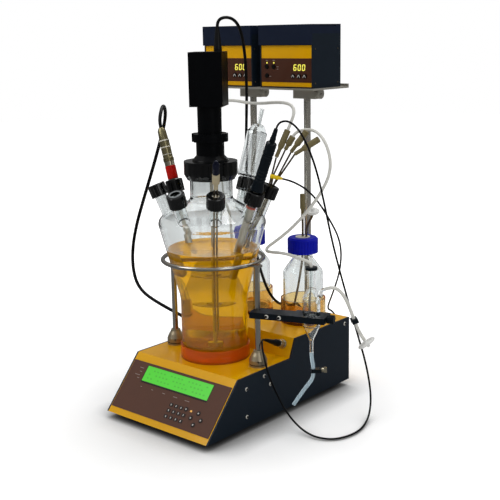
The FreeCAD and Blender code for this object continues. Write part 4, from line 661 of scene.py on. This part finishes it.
def make_liquid():
    """The culture medium in the vessel, with its free surface as a finish of its own."""
    corner = CORNER_RADIUS + OVERLAP
    profile = [(0.0, CORNER_LEVEL - corner)]
    for step in range(CORNER_STEPS + 1):
        turn = math.radians(-90 + step * 90 / CORNER_STEPS)
        profile.append((CORNER_OUT + corner * math.cos(turn), CORNER_LEVEL + corner * math.sin(turn)))
    for radius, level in ((WALL_FOOT_RADIUS, 188.0), (WALL_FOOT_RADIUS + 0.6, WALL_FOOT_LEVEL),
                          (WALL_FOOT_RADIUS + 2.4, 206.0)):
        profile.append((radius + OVERLAP, level))
    for level in WALL_LEVELS + (LIQUID_TOP - 0.5,):
        profile.append((wall_radius(level) + OVERLAP, level))
    edge = wall_radius(LIQUID_TOP)
    profile += [(edge - 1.0, LIQUID_TOP - 0.1), (edge - 4.0, LIQUID_TOP - 0.6), (0.0, LIQUID_TOP - 0.6)]
    mesh = bmesh.new()
    spun(mesh, profile, LIQUID_SEGMENTS, (0, AXIS_Y * MM, 0))
    piece = piece_from(mesh, "culture_medium", "medium", smooth=LIQUID_EDGE)
    piece.data.materials.append(FINISHES["medium_top"])
    for polygon in piece.data.polygons:
        if polygon.normal.z > NEARLY_LEVEL and polygon.center.z > (LIQUID_TOP - SURFACE_DEPTH) * MM:
            polygon.material_index = 1


make_liquid()
print("liquid level", LIQUID_TOP, "mm above the bench")

# %% [markdown]
# Probes, plugs and couplings are all turned parts, so one function spins
# them. A part on a side neck uses the neck's own axis, where heights are the
# same as those of the solids there. A handle's grooves repeat, so their
# profile points come from a loop.

# %% Turned pieces
CRISP_EDGE = 35
NECK_SEGMENTS = 48


def turning(name, profile, origin, way, finish, slot, replaces=True, segments=40, body="frame"):
    """A turned piece from an origin in metres. It replaces its slot's solid, unless told not to."""
    mesh = bmesh.new()
    spun(mesh, profile, segments, origin, way)
    piece = piece_from(mesh, name, finish, body, smooth=CRISP_EDGE)
    if replaces:
        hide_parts(slot)


def neck_turning(name, profile, neck, finish, slot, replaces=True, body="frame"):
    """A turned piece on a side neck's axis, from the neck's foot."""
    turning(name, profile, on_neck(neck, 0.0), neck_axis(neck), finish, slot, replaces,
            NECK_SEGMENTS, body)


def grooves(start, end, radius, depth, count):
    """Profile points of a handle with shallow rounded grooves."""
    points = []
    pitch = (end - start) / count
    for index in range(count):
        foot = start + index * pitch
        points += [(radius, foot), (radius, foot + pitch * 0.55), (radius - depth, foot + pitch * 0.7),
                   (radius - depth, foot + pitch * 0.85)]
    return points + [(radius, end)]


print("turned pieces have", NECK_SEGMENTS, "sides on the necks")

# %% [markdown]
# The oxygen probe is a steel stem that goes down into the liquid and a black
# grip with grooves, a waist and a ribbed strain relief for its cable. They
# could be one mesh with two finishes, but separate pieces keep their edges
# crisp where the steel enters the grip.

# %% Oxygen probe
STEM_END = -112.0
STEM_RADIUS = 6.0
GRIP_RADIUS = 8.6
WAIST_RADIUS = 7.9
RELIEF_RADIUS = 4.6
neck_turning("do_stem", [(0, STEM_END), (5, STEM_END), (STEM_RADIUS, STEM_END + 1), (STEM_RADIUS, 45.8)],
             "cap_do", "satin_steel", "do_probe")
grip = [(0, 45.9), (STEM_RADIUS, 46), (10.8, 47.6), (10.9, 48.4), (GRIP_RADIUS, 60)]
grip += grooves(62, 84, GRIP_RADIUS, 0.6, 4)
grip += [(8.2, 86), (8.2, 92), (GRIP_RADIUS, 94), (GRIP_RADIUS, 106.4), (WAIST_RADIUS, 107),
         (WAIST_RADIUS, 110), (GRIP_RADIUS, 110.6)]
grip += grooves(112, 128, GRIP_RADIUS, 0.5, 3) + [(7.6, 129.8), (RELIEF_RADIUS, 131)]
grip += grooves(131.5, 137.5, RELIEF_RADIUS, 0.6, 3) + [(4.0, 139), (3.2, 152.8), (0, 152.9)]
neck_turning("do_handle", grip, "cap_do", "handle_black", "do_probe")
print("oxygen probe:", len(grip), "profile points on its grip")

# %% [markdown]
# The acidity probe has a steel stem with a rounded tip, a red collar that
# tells it apart, and a metal connector screwed on above. The near-white rings
# are separate thin pieces, because they are brighter than the shell.

# %% Acidity probe
SHELL_RADIUS = 8.4
stem = [(0, STEM_END), (2, STEM_END + 1), (4.6, STEM_END + 4), (STEM_RADIUS, STEM_END + 8),
        (STEM_RADIUS, 46.4)]
neck_turning("ph_stem", stem, "cap_ph", "satin_steel", "ph_probe")
neck_turning("ph_collar", [(5.9, 46.5), (8.5, 46.5), (9, 47), (9, 68.5), (8.5, 69), (5.6, 69)],
             "cap_ph", "red_collar", "ph_probe")
neck_turning("ph_neck", [(0, 69.1), (SHELL_RADIUS, 69.1), (SHELL_RADIUS, 76.6), (8, 77), (0, 77)],
             "cap_ph", "nickel", "ph_probe")
shell = [(0, 77.2), (8.9, 77.2), (9.2, 77.5)] + grooves(78, 82, 9.2, 0.3, 4)
shell += [(9.2, 82.4), (SHELL_RADIUS, 83.2), (SHELL_RADIUS, 99.8), (8.8, 100.2), (8.8, 102.2),
          (SHELL_RADIUS, 102.6), (8.3, 111.2), (8.9, 111.6), (8.9, 114), (7.8, 114.6), (7, 130.2),
          (4.4, 135.2), (0, 135.2)]
neck_turning("ph_connector", shell, "cap_ph", "dark_nickel", "cord_plugs")
RING_BORE = 8.2
RINGS = {"low": (88.4, 89.3, 8.5), "middle": (100.4, 102.0, 8.9), "high": (111.8, 113.8, 9.0)}
for name, (low, high, radius) in RINGS.items():
    neck_turning("ph_ring_" + name, [(RING_BORE, low), (radius, low), (radius, high), (RING_BORE, high),
                                     (RING_BORE, low)], "cap_ph", "bright_ring", "cord_plugs", False)
print("acidity probe: 4 parts and", len(RINGS), "rings")

# %% [markdown]
# Two caps show a little more than a hole: a cream seal lies under the front
# cap's opening, and the cap beside it has a grey ring that is a painted
# reflection of light on its top flange. The ring turns with its cap, so it
# rides on the cap's body and not on the frame.

# %% Seal and painted reflection ring on the front caps
neck_turning("front_seal", [(0, 41.4), (6.3, 41.4), (6.3, 42.4), (0, 42.4)], "cap_front", "off_white",
             "port_seals", False)
# the grey ring is a painted reflection, where light catches the cap's top flange
ring = [(7.8, 45), (10.4, 45), (10.4, 45.6), (9.9, 46), (8.3, 46), (7.8, 45.6), (7.8, 45)]
neck_turning("left_rim_reflection", ring, "cap_front_left", "grey_rim_reflection", "cap_front_left", False, "cap_front_left")
print("front caps: a seal and a ring")

# %% [markdown]
# A plug is a ribbed nut with a soft boot behind it. Three of them share one
# profile, and each is turned to its own socket. The acidity probe's plug has
# a longer nut and an elbow. A bent tube could be swept for the elbow, but two
# short bars are simpler, and are turned by the same function as the nuts.

# %% Plugs
RISER_OUT = Vector((0.0, -0.9243, 0.3815))
BACKWARDS = Vector((0.0, 1.0, 0.0))
DO_SOCKET = Vector((92.0, 25.83, 113.5))
PH_SOCKET = Vector((-60.0, 25.22, 112.0))
DRIVE_SOCKET = Vector((-22, 187, 58))
WARM_SOCKET = Vector((14, 187, 62))
NUT_RADIUS = 6.6
NUT_FOOT = [(0, -7), (3.9, -7), (3.9, 2.4), (6.3, 2.6)]
PLUG_NUT = NUT_FOOT + grooves(3, 12, NUT_RADIUS, 0.4, 6) + [(6.2, 12.4), (0, 12.4)]
ELBOW_NUT = NUT_FOOT + grooves(3, 15, NUT_RADIUS, 0.4, 7) + [(6.2, 15.9), (0, 16)]
PLUG_BOOT = [(0, 12.5), (5.8, 12.6), (5.8, 20), (5, 22)]
PLUG_BOOT += [(5 - 0.1 * step, 22 + step) for step in range(1, 26)] + [(2.4, 48), (0, 48)]
PLUGS = {"do": (DO_SOCKET, RISER_OUT), "drive": (DRIVE_SOCKET, BACKWARDS),
         "warm": (WARM_SOCKET, BACKWARDS)}
BAR_SEGMENTS = 32


def bar(name, start, end, radii, finish):
    """A round bar or taper of a plug between two points in millimetres, with eased ends."""
    length = (end - start).length
    low, top = radii
    profile = [(0, 0), (low * 0.9, 0), (low, low * 0.1), (top, length - top * 0.1), (top * 0.9, length),
               (0, length)]
    turning(name, profile, start * MM, end - start, finish, "cord_plugs", segments=BAR_SEGMENTS)


for name, (foot, way) in PLUGS.items():
    turning(name + "_plug_nut", PLUG_NUT, foot * MM, way, "nickel", "cord_plugs")
    turning(name + "_plug_boot", PLUG_BOOT, foot * MM, way, "cable_black", "cord_plugs")
turning("ph_plug_nut", ELBOW_NUT, PH_SOCKET * MM, RISER_OUT, "nickel", "cord_plugs")
elbow_start = PH_SOCKET + RISER_OUT * 10
bar("ph_plug_elbow", elbow_start, elbow_start + Vector((-14, 0, 0)), (5.2, 5.2), "cable_black")
bar("ph_plug_tail", elbow_start + Vector((-13, 0, 0)), elbow_start + Vector((-29, 0, 0)), (5.2, 3.6),
    "cable_black")
print("plugs:", len(PLUGS) + 1)

# %% [markdown]
# The temperature line ends in a small yellow plug with a tapered boot. A
# rubber ring sits in a groove of each post's foot. A torus could stand for
# it, but the function for turned parts is here already, and takes a small
# rectangle as the ring's profile.

# %% Temperature plug and the feet's rings
WARM_SEAT = Vector((86.6, 5.0, 399.8))
WARM_TIP = Vector((102.5, 17.0, 395.0))
warm_waist = WARM_SEAT.lerp(WARM_TIP, 0.6)
bar("warm_head", WARM_SEAT, warm_waist, (3.4, 3.4), "plug_yellow")
bar("warm_boot", warm_waist, WARM_TIP, (3.3, 1.8), "plug_yellow")
POSTS = {"left": -94.5, "right": 94.5}
POST_GROOVE_LEVEL = 95
for side, x in POSTS.items():
    turning("foot_groove_" + side, [(14.2, 3.3), (14.85, 3.3), (14.85, 4.3), (14.2, 4.3), (14.2, 3.3)],
            Vector((x, AXIS_Y, POST_GROOVE_LEVEL)) * MM, UP, "rubber", "post_feet", False)
print("feet with a ring:", len(POSTS))

# %% [markdown]
# Each hose coupling is moulded: a narrow foot that stands in the cap, a
# short cone, and a wide ribbed sleeve that holds the hose. All of them have
# the same proportions, so one function takes the two ends and the radius.

# %% Couplings
QUAD_COUPLINGS = [
    ((86, 22, 428), (99, 36, 471)), ((97, 32, 440), (108, 38, 461)),
    ((110, 30, 437), (131, 44, 470)), ((121, 26, 435), (155, 44, 459)),
]
QUAD_RADIUS = 5.2
BOTTLES = {"right": 60.0, "left": -60.0}
BOTTLE_Y = 124
BOTTLE_LEVELS = (311, 352)
BOTTLE_RADIUS = 4.6
FRONT_RADIUS = 5.8
TIP_RADIUS = 5.4


def make_coupling(name, start, end, radius, finish):
    """One coupling between two points in millimetres."""
    start, end = Vector(start), Vector(end)
    length = (end - start).length
    foot = radius * 0.62
    profile = [(0, 0), (foot * 0.9, 0), (foot, 0.4), (foot, length * 0.3), (radius * 0.96, length * 0.395),
               (radius, length * 0.41)]
    profile += grooves(length * 0.46, length * 0.94, radius, radius * 0.05, 5)
    profile += [(radius, length - 0.8), (radius * 0.88, length), (0, length)]
    turning(name, profile, start * MM, end - start, finish, "couplings")


for index, (start, end) in enumerate(QUAD_COUPLINGS):
    make_coupling("quad_coupling_%d" % index, start, end, QUAD_RADIUS, "olive_nylon")
for side, x in BOTTLES.items():
    foot, top = ((x, BOTTLE_Y, level) for level in BOTTLE_LEVELS)
    make_coupling("bottle_coupling_" + side, foot, top, BOTTLE_RADIUS, "olive_nylon")
make_coupling("front_coupling", on_neck("cap_front", 56.2) / MM, on_neck("cap_front", 83.0) / MM,
              FRONT_RADIUS, "beige_nylon")
tip = [(0, 83.2), (5.0, 83.2), (TIP_RADIUS, 83.6)] + grooves(85, 93, TIP_RADIUS, 0.4, 4)
tip += [(TIP_RADIUS, 99), (4.4, 101.4), (2.9, 104.8), (2.3, 106), (0, 106)]
neck_turning("front_closure", tip, "cap_front", "tip_blue", "couplings")
print("couplings:", len(QUAD_COUPLINGS) + len(BOTTLES) + 1)

# %% [markdown]
# The control face lies on a slope. Its pieces could be turned one by one,
# but one small matrix puts a flat piece on it: x across, y up the slope and
# z out of the film. The screen is lit from behind, and its signs are rows of
# plain marks. Captions on the film are plain dashes.

# %% Display
SLOPE_RUN = 74.0
SLOPE_RISE = 84.5
FRONT_Y = -187.0
FOOT_LEVEL = 10.5
# a size is across, up and thick, and a place is across, up and out of the film
FRAME_SIZE, FRAME_PLACE = (151.5, 30.0, 0.3), (0.8, 79.0, 1.05)
SCREEN_SIZE, SCREEN_PLACE = (148.8, 27.1, 0.3), (1.0, 79.9, 1.3)
SIGN_SIZE = (3.6, 2.2, 0.1)
SIGN_OUT = 1.45
SIGN_ROWS = (87.0, 80.0, 73.0)
SIGN_COLUMNS = 17
SIGN_START = -63.0
SIGN_PITCH = 8.0
CAPTION_WIDTH, CAPTION_OUT = 1.0, 1.0
# across, up and length of each caption
CAPTIONS = ((-86, 87, 9), (-84.5, 80.5, 5), (-89, 74, 11), (-84, 69, 5), (-68, 56.3, 3), (-42, 56.3, 4),
            (-15, 56.3, 6), (11.5, 56.3, 9), (38, 56.3, 10))


def on_slope(across, up, out):
    """The matrix of a place on the control face."""
    length = math.hypot(SLOPE_RUN, SLOPE_RISE)
    along = Vector((0, SLOPE_RUN / length, SLOPE_RISE / length))
    normal = Vector((0, -SLOPE_RISE / length, SLOPE_RUN / length))
    foot = Vector((across, FRONT_Y, FOOT_LEVEL)) + along * up + normal * out
    turn = Matrix((Vector((1, 0, 0)), along, normal)).transposed()
    return Matrix.Translation(foot * MM) @ turn.to_4x4()


def make_display():
    """The lit screen with its signs, the dark frame around it and the captions beside it."""
    signs = []
    for row, up in enumerate(SIGN_ROWS):
        for column in range(SIGN_COLUMNS):
            if (column * 7 + row * 3) % 5:
                signs.append((SIGN_SIZE, on_slope(SIGN_START + column * SIGN_PITCH, up, SIGN_OUT)))
    plates("lcd_signs", signs, "lcd_sign_green")
    plates("lcd_frame", [(FRAME_SIZE, on_slope(*FRAME_PLACE))], "print_dark")
    plates("lcd_screen", [(SCREEN_SIZE, on_slope(*SCREEN_PLACE))], "lcd_green")
    captions = [((length, CAPTION_WIDTH, 0.2), on_slope(across, up, CAPTION_OUT))
                for across, up, length in CAPTIONS]
    plates("film_captions", captions, "print_grey")
    print("signs on the display:", len(signs))


make_display()

# %% [markdown]
# The keypad is one printed film with low domes under it: eleven small oblong
# keys and a round one in the twelfth place, then a lamp, and four more round
# keys to the right. A bump in the film's material could hint at them, but
# modelled keys also cast their small shadows.

# %% Keypad
KEY_COLUMNS = (11.5, 22.5, 33.5, 44.5)
KEY_ROWS = (43.0, 33.0, 22.7)
KEY_SIZE, KEY_OUT, KEY_BEVEL = (7.4, 5.6, 0.9), 1.3, 0.35
KEY_MARK, KEY_MARK_OUT = (1.4, 2.8, 0.3), 1.75
ROUND_KEYS = ((71.7, 43.1), (60.7, 32.7), (81.7, 33.5), (71.4, 23.4), (44.4, 43.5))
ROUND_PROFILE = [(0, 0), (3.9, 0), (3.9, 0.6), (3.3, 1.0), (0, 1.1)]
ROUND_OUT, ROUND_SEGMENTS = 0.9, 32
ROUND_MARK, ROUND_MARK_OUT = (2.2, 2.2, 0.3), 2.0
LAMP_SIZE, LAMP_PLACE, LAMP_BEVEL = (3.6, 3.0, 0.5), (55.6, 43.0, 1.3), 0.2


def make_keypad():
    """The film keys, their marks and the lamp."""
    keys, marks, lamp = bmesh.new(), [], bmesh.new()
    for row in KEY_ROWS:
        for column in KEY_COLUMNS[:3 if row == KEY_ROWS[0] else 4]:
            boxed(keys, KEY_SIZE, on_slope(column, row, KEY_OUT), KEY_BEVEL)
            marks.append((KEY_MARK, on_slope(column, row, KEY_MARK_OUT)))
    for across, up in ROUND_KEYS:
        part = bmesh.new()
        spun(part, ROUND_PROFILE, ROUND_SEGMENTS)
        bmesh.ops.transform(part, matrix=on_slope(across, up, ROUND_OUT), verts=part.verts)
        join(keys, part)
        marks.append((ROUND_MARK, on_slope(across, up, ROUND_MARK_OUT)))
    piece_from(keys, "film_keys", "print_dark")
    plates("key_marks", marks, "print_white")
    boxed(lamp, LAMP_SIZE, on_slope(*LAMP_PLACE), LAMP_BEVEL)
    piece_from(lamp, "keypad_lamp", "lamp_amber")
    print("keys:", len(marks))


make_keypad()

# %% [markdown]
# The case is held by socket screws. The shade in their hexagon sockets is
# painted as thin black six-sided discs, and each pump's side shows four small
# round heads. A hole in the screw's solid would be truer, but a disc leaves the
# solid as it is.

# %% Screws
PUMPS = {"pump_keys_right": 36.0, "pump_keys_left": -94.0}
PUMP_HALF_WIDTH = 56.0
PUMP_SCREWS = ((119, 540), (182, 540), (119, 596), (182, 596))
CASE_SCREWS = ((-94, 74.6), (-94, 28), (-50, 84), (-35, 66), (173, 117.5))
CASE_SCREW_FACE = 116.36
ARM_TURN = math.radians(19.5)
ARM_SIDE = Vector((math.sin(ARM_TURN), -math.cos(ARM_TURN), 0))
ARM_SCREW_TIPS = ((121.15, -51.65), (140.95, -44.64))
ARM_LEVEL = 184.5
# a thin disc, drawn black as the painted shade inside a screw's socket
SOCKET_SHADE_PROFILE = [(0, 0), (2.4, 0), (2.4, 0.15), (0, 0.15)]
HEAD_PROFILE = [(0, 0), (1.5, 0), (1.3, 0.5), (0, 0.5)]


def make_screws():
    """The painted shade of the screws' sockets as black discs, and the small screws in the pumps' sides."""
    sockets, heads = bmesh.new(), bmesh.new()
    for side in (-1, 1):
        for y, z in CASE_SCREWS:
            spun(sockets, SOCKET_SHADE_PROFILE, 6, Vector((side * CASE_SCREW_FACE, y, z)) * MM, (side, 0, 0))
    for x, y in ARM_SCREW_TIPS:
        spun(sockets, SOCKET_SHADE_PROFILE, 6, Vector((x, y, ARM_LEVEL)) * MM, ARM_SIDE)
    for centre in PUMPS.values():
        for side in (-1, 1):
            for y, z in PUMP_SCREWS:
                spun(heads, HEAD_PROFILE, 24, Vector((centre + side * PUMP_HALF_WIDTH, y, z)) * MM,
                     (side, 0, 0))
    # black discs: painted shade standing for the dark recess of each socket
    piece_from(sockets, "screw_socket_shades", "cap_black")
    piece_from(heads, "pump_screws", "line_steel")


make_screws()
print("screws:", 2 * len(CASE_SCREWS) + len(ARM_SCREW_TIPS) + 2 * len(PUMPS) * len(PUMP_SCREWS))

# %% [markdown]
# Each pump shows three digits behind its brown film, made of seven bars
# each, over three keys with a caret, and small lamps over the left keys. A
# font would need a text turned to a mesh, while seven bars are what the real
# digits are. The carets are proud of the keys and ride with them.

# %% Pump fronts
PUMP_FRONT_Y = 111.3
SHELF_TOP = 532.0
# side, level and whether it lies flat, for each bar of a digit
DIGIT_BARS = {
    "a": (0, 1, True), "b": (1, 0.5, False), "c": (1, -0.5, False), "d": (0, -1, True),
    "e": (-1, -0.5, False), "f": (-1, 0.5, False), "g": (0, 0, True),
}
DIGITS = {"6": "acdefg", "0": "abcdef"}
READING = {19.5: "6", 28.5: "0", 37.5: "0"}
READING_LEVEL = 34.0
DIGIT_HALF_WIDTH = 2.4
DIGIT_HALF_HEIGHT = 4.5
DIGIT_LEAN = 0.12
FLAT_BAR = (4.4, 1.5, 0.4)
UPRIGHT_BAR = (1.5, 4.0, 0.4)
DIGIT_OUT = 0.15
DOT_SIZE, DOTS_ACROSS, DOT_LEVEL = (2.4, 2.4, 0.4), (-41.0, -26.0), 41.5
CARET_STROKE, CARET_LEAN, CARET_SPREAD = (1.0, 4.8, 0.3), 0.55, 1.4
CARETS_ACROSS, CARET_LEVEL, CARET_OUT = (16.0, 28.0, 40.0), 20.0, 2.05
PRINT_OUT = 0.1
# across, up and length of each caption
PUMP_CAPTIONS = ((-41, 45.5, 5), (-26, 45.5, 5), (-18, 35, 4), (-18, 31, 3), (-34, 19, 4))


def on_pump(centre, across, up, out):
    """The matrix of a place on a pump's face: x across, y up, z out towards the front."""
    spot = Vector((centre + across, PUMP_FRONT_Y - out, SHELF_TOP + up)) * MM
    turn = Matrix(((1, 0, 0), (0, 0, -1), (0, 1, 0))).to_4x4()
    return Matrix.Translation(spot) @ turn


def digit_blocks(centre, middle, shown):
    """The lit bars of one seven-bar digit around its middle."""
    blocks = []
    for letter in DIGITS[shown]:
        side, level, flat = DIGIT_BARS[letter]
        across = middle + side * DIGIT_HALF_WIDTH + DIGIT_LEAN * level * DIGIT_HALF_HEIGHT
        up = READING_LEVEL + level * DIGIT_HALF_HEIGHT
        blocks.append((FLAT_BAR if flat else UPRIGHT_BAR, on_pump(centre, across, up, DIGIT_OUT)))
    return blocks


def make_pump_front(node, centre):
    """The digits, lamps, carets and captions of one pump."""
    digits = [block for middle, shown in READING.items() for block in digit_blocks(centre, middle, shown)]
    plates(node.replace("keys", "digits"), digits, "digit_yellow")
    lamps = [(DOT_SIZE, on_pump(centre, across, DOT_LEVEL, PRINT_OUT)) for across in DOTS_ACROSS]
    plates(node.replace("keys", "lamps"), lamps, "digit_yellow")
    carets = []
    for across in CARETS_ACROSS:
        for side in (-1, 1):
            place = on_pump(centre, across + side * CARET_SPREAD, CARET_LEVEL, CARET_OUT)
            carets.append((CARET_STROKE, place @ Matrix.Rotation(side * CARET_LEAN, 4, "Z")))
    plates(node.replace("keys", "carets"), carets, "print_white", node)
    captions = [((length, 0.9, 0.2), on_pump(centre, across, up, PRINT_OUT))
                for across, up, length in PUMP_CAPTIONS]
    plates(node.replace("keys", "captions"), captions, "print_grey")


for node, centre in PUMPS.items():
    make_pump_front(node, centre)
print("pump fronts:", len(PUMPS))

# %% [markdown]
# The floor is pale and keeps the object's shadow. To the eye it glows more
# and more with distance, so that it runs into the white behind it without an
# edge. Both its glow and its colour are darkened where little open sky is
# seen, a painted contact shadow that draws the dark line where the feet stand.
# In reflections it is darker, because a bright floor would wash out the black
# and the blue.

# %% Floor
FLOOR_RADIUS, FLOOR_SEGMENTS, FLOOR_DROP = 6.0, 64, 0.0005
GLOW_START, GLOW_FULL = 0.22, 0.9
GLOW_NEAR, GLOW_FAR = 0.2, 0.75
PAINTED_SHADE_REACH = 0.06
PAINTED_SHADE_POWER = 1.6
FLOOR_GREY = (0.82, 0.82, 0.82, 1.0)
MIRRORED_GREY = (0.2, 0.2, 0.2, 1.0)
WHITE = (1, 1, 1, 1)


def floor_material():
    """A pale matt floor that glows to the eye away from the object, with a painted contact shadow close to
    it.
    """
    # matt painted board: pale, with no gloss
    tree, surface = empty_material("floor_white")
    rays = add(tree, "LightPath")
    place = add(tree, "TexCoord")
    reach = add(tree, "VectorMath", {0: place.outputs["Object"]}, operation="LENGTH")
    glow = add(tree, "MapRange", {"Value": reach.outputs["Value"], "From Min": GLOW_START,
                                  "From Max": GLOW_FULL, "To Min": GLOW_NEAR, "To Max": GLOW_FAR})
    # painted contact shadow: occlusion darkens the floor's colour and glow near the object
    shade_occlusion = add(tree, "AmbientOcclusion", {"Distance": PAINTED_SHADE_REACH})
    painted_contact_shade = add(tree, "Math", {0: shade_occlusion.outputs["AO"], 1: PAINTED_SHADE_POWER}, operation="POWER")
    lit = add(tree, "Math", {0: rays.outputs["Is Camera Ray"], 1: glow.outputs["Result"]},
              operation="MULTIPLY")
    strength = add(tree, "Math", {0: lit.outputs[0], 1: painted_contact_shade.outputs[0]}, operation="MULTIPLY")
    # a ray bent by glass counts as glossy too, so those are taken off again
    mirrored = add(tree, "Math", {0: rays.outputs["Is Glossy Ray"], 1: rays.outputs["Is Transmission Ray"]},
                   operation="SUBTRACT", use_clamp=True)
    shade = add(tree, "Mix", {"Factor": mirrored.outputs[0], FIRST_COLOUR: FLOOR_GREY,
                              SECOND_COLOUR: MIRRORED_GREY}, data_type="RGBA")
    # the floor's colour with the painted contact shadow multiplied in
    shade_painted_colour = add(tree, "VectorMath", {0: shade.outputs[MIXED_COLOUR], "Scale": painted_contact_shade.outputs[0]},
                  operation="SCALE")
    paint = add(tree, "BsdfDiffuse", {"Color": shade_painted_colour.outputs["Vector"]})
    lift = add(tree, "Emission", {"Color": WHITE, "Strength": strength.outputs[0]})
    both = add(tree, "AddShader", {0: paint.outputs["BSDF"], 1: lift.outputs["Emission"]})
    tree.links.new(both.outputs["Shader"], surface)
    return FINISHES["floor_white"]


def make_floor():
    """A wide round floor just below the feet."""
    mesh = bmesh.new()
    bmesh.ops.create_circle(mesh, cap_ends=True, radius=FLOOR_RADIUS, segments=FLOOR_SEGMENTS)
    data = bpy.data.meshes.new("floor")
    mesh.to_mesh(data)
    mesh.free()
    data.materials.append(floor_material())
    floor = bpy.data.objects.new("floor", data)
    bpy.context.scene.collection.objects.link(floor)
    floor.location.z = -FLOOR_DROP


make_floor()
print("floor made")

# %% [markdown]
# The surroundings are white to the eye and through glass. Reflections see a
# soft grey room instead, brighter towards its ceiling, so that metal and
# black plastic show a shape. Walls could be built around it, but the eye
# would see them too, while a background can tell one kind of ray from another.

# %% Surroundings
ROOM_LIGHT = 0.5
ROOM_LOW, ROOM_HIGH = 0.05, 0.5
LOW_AT, HIGH_AT = -0.1, 0.8


def make_world():
    """White surroundings for the eye and through glass, and a soft grey room in reflections."""
    world = bpy.data.worlds.new("world")
    bpy.context.scene.world = world
    world.use_nodes = True
    tree = world.node_tree
    tree.nodes.clear()
    rays = add(tree, "LightPath")
    seen = add(tree, "Math", {0: rays.outputs["Is Camera Ray"], 1: rays.outputs["Is Transmission Ray"]},
               operation="MAXIMUM")
    place = add(tree, "TexCoord")
    height = add(tree, "SeparateXYZ", {"Vector": place.outputs["Generated"]})
    room = add(tree, "MapRange", {"Value": height.outputs["Z"], "From Min": LOW_AT,
                                  "From Max": HIGH_AT, "To Min": ROOM_LOW, "To Max": ROOM_HIGH})
    plain = add(tree, "Mix", {"Factor": rays.outputs["Is Glossy Ray"], "A": ROOM_LIGHT,
                              "B": room.outputs["Result"]})
    strength = add(tree, "Mix", {"Factor": seen.outputs[0], "A": plain.outputs["Result"], "B": 1.0})
    sky = add(tree, "Background", {"Color": WHITE, "Strength": strength.outputs["Result"]})
    output = tree.nodes.new("ShaderNodeOutputWorld")
    tree.links.new(sky.outputs["Background"], output.inputs["Surface"])


make_world()
print("room light:", ROOM_LIGHT)

# %% [markdown]
# Three large soft lamps light the object at a plain level, so that colours
# look as they were written. Small lamps would give hard shadows and sharp
# glints, and one lamp alone would leave the far side darker.

# %% Lamps
LAMPS = {
    # name: (place in metres, width in metres, power in watts)
    "key": ((-0.9, -1.6, 1.9), 1.2, 14.0),
    "fill": ((1.9, -0.6, 1.3), 1.2, 7.0),
    "top": ((-0.1, 0.9, 2.2), 1.2, 24.0),
}
LAMP_TARGET = Vector((0.0, 0.0, 0.3))


def make_lamps():
    """Three large soft lamps that all face the vessel."""
    for name, (place, width, power) in LAMPS.items():
        data = bpy.data.lights.new(name, "AREA")
        data.size = width
        data.energy = power
        lamp = bpy.data.objects.new(name, data)
        bpy.context.scene.collection.objects.link(lamp)
        lamp.location = place
        lamp.rotation_euler = (LAMP_TARGET - Vector(place)).to_track_quat("-Z", "Y").to_euler()


make_lamps()
bpy.context.scene.view_settings.view_transform = "Standard"
print("lamps:", len(LAMPS))
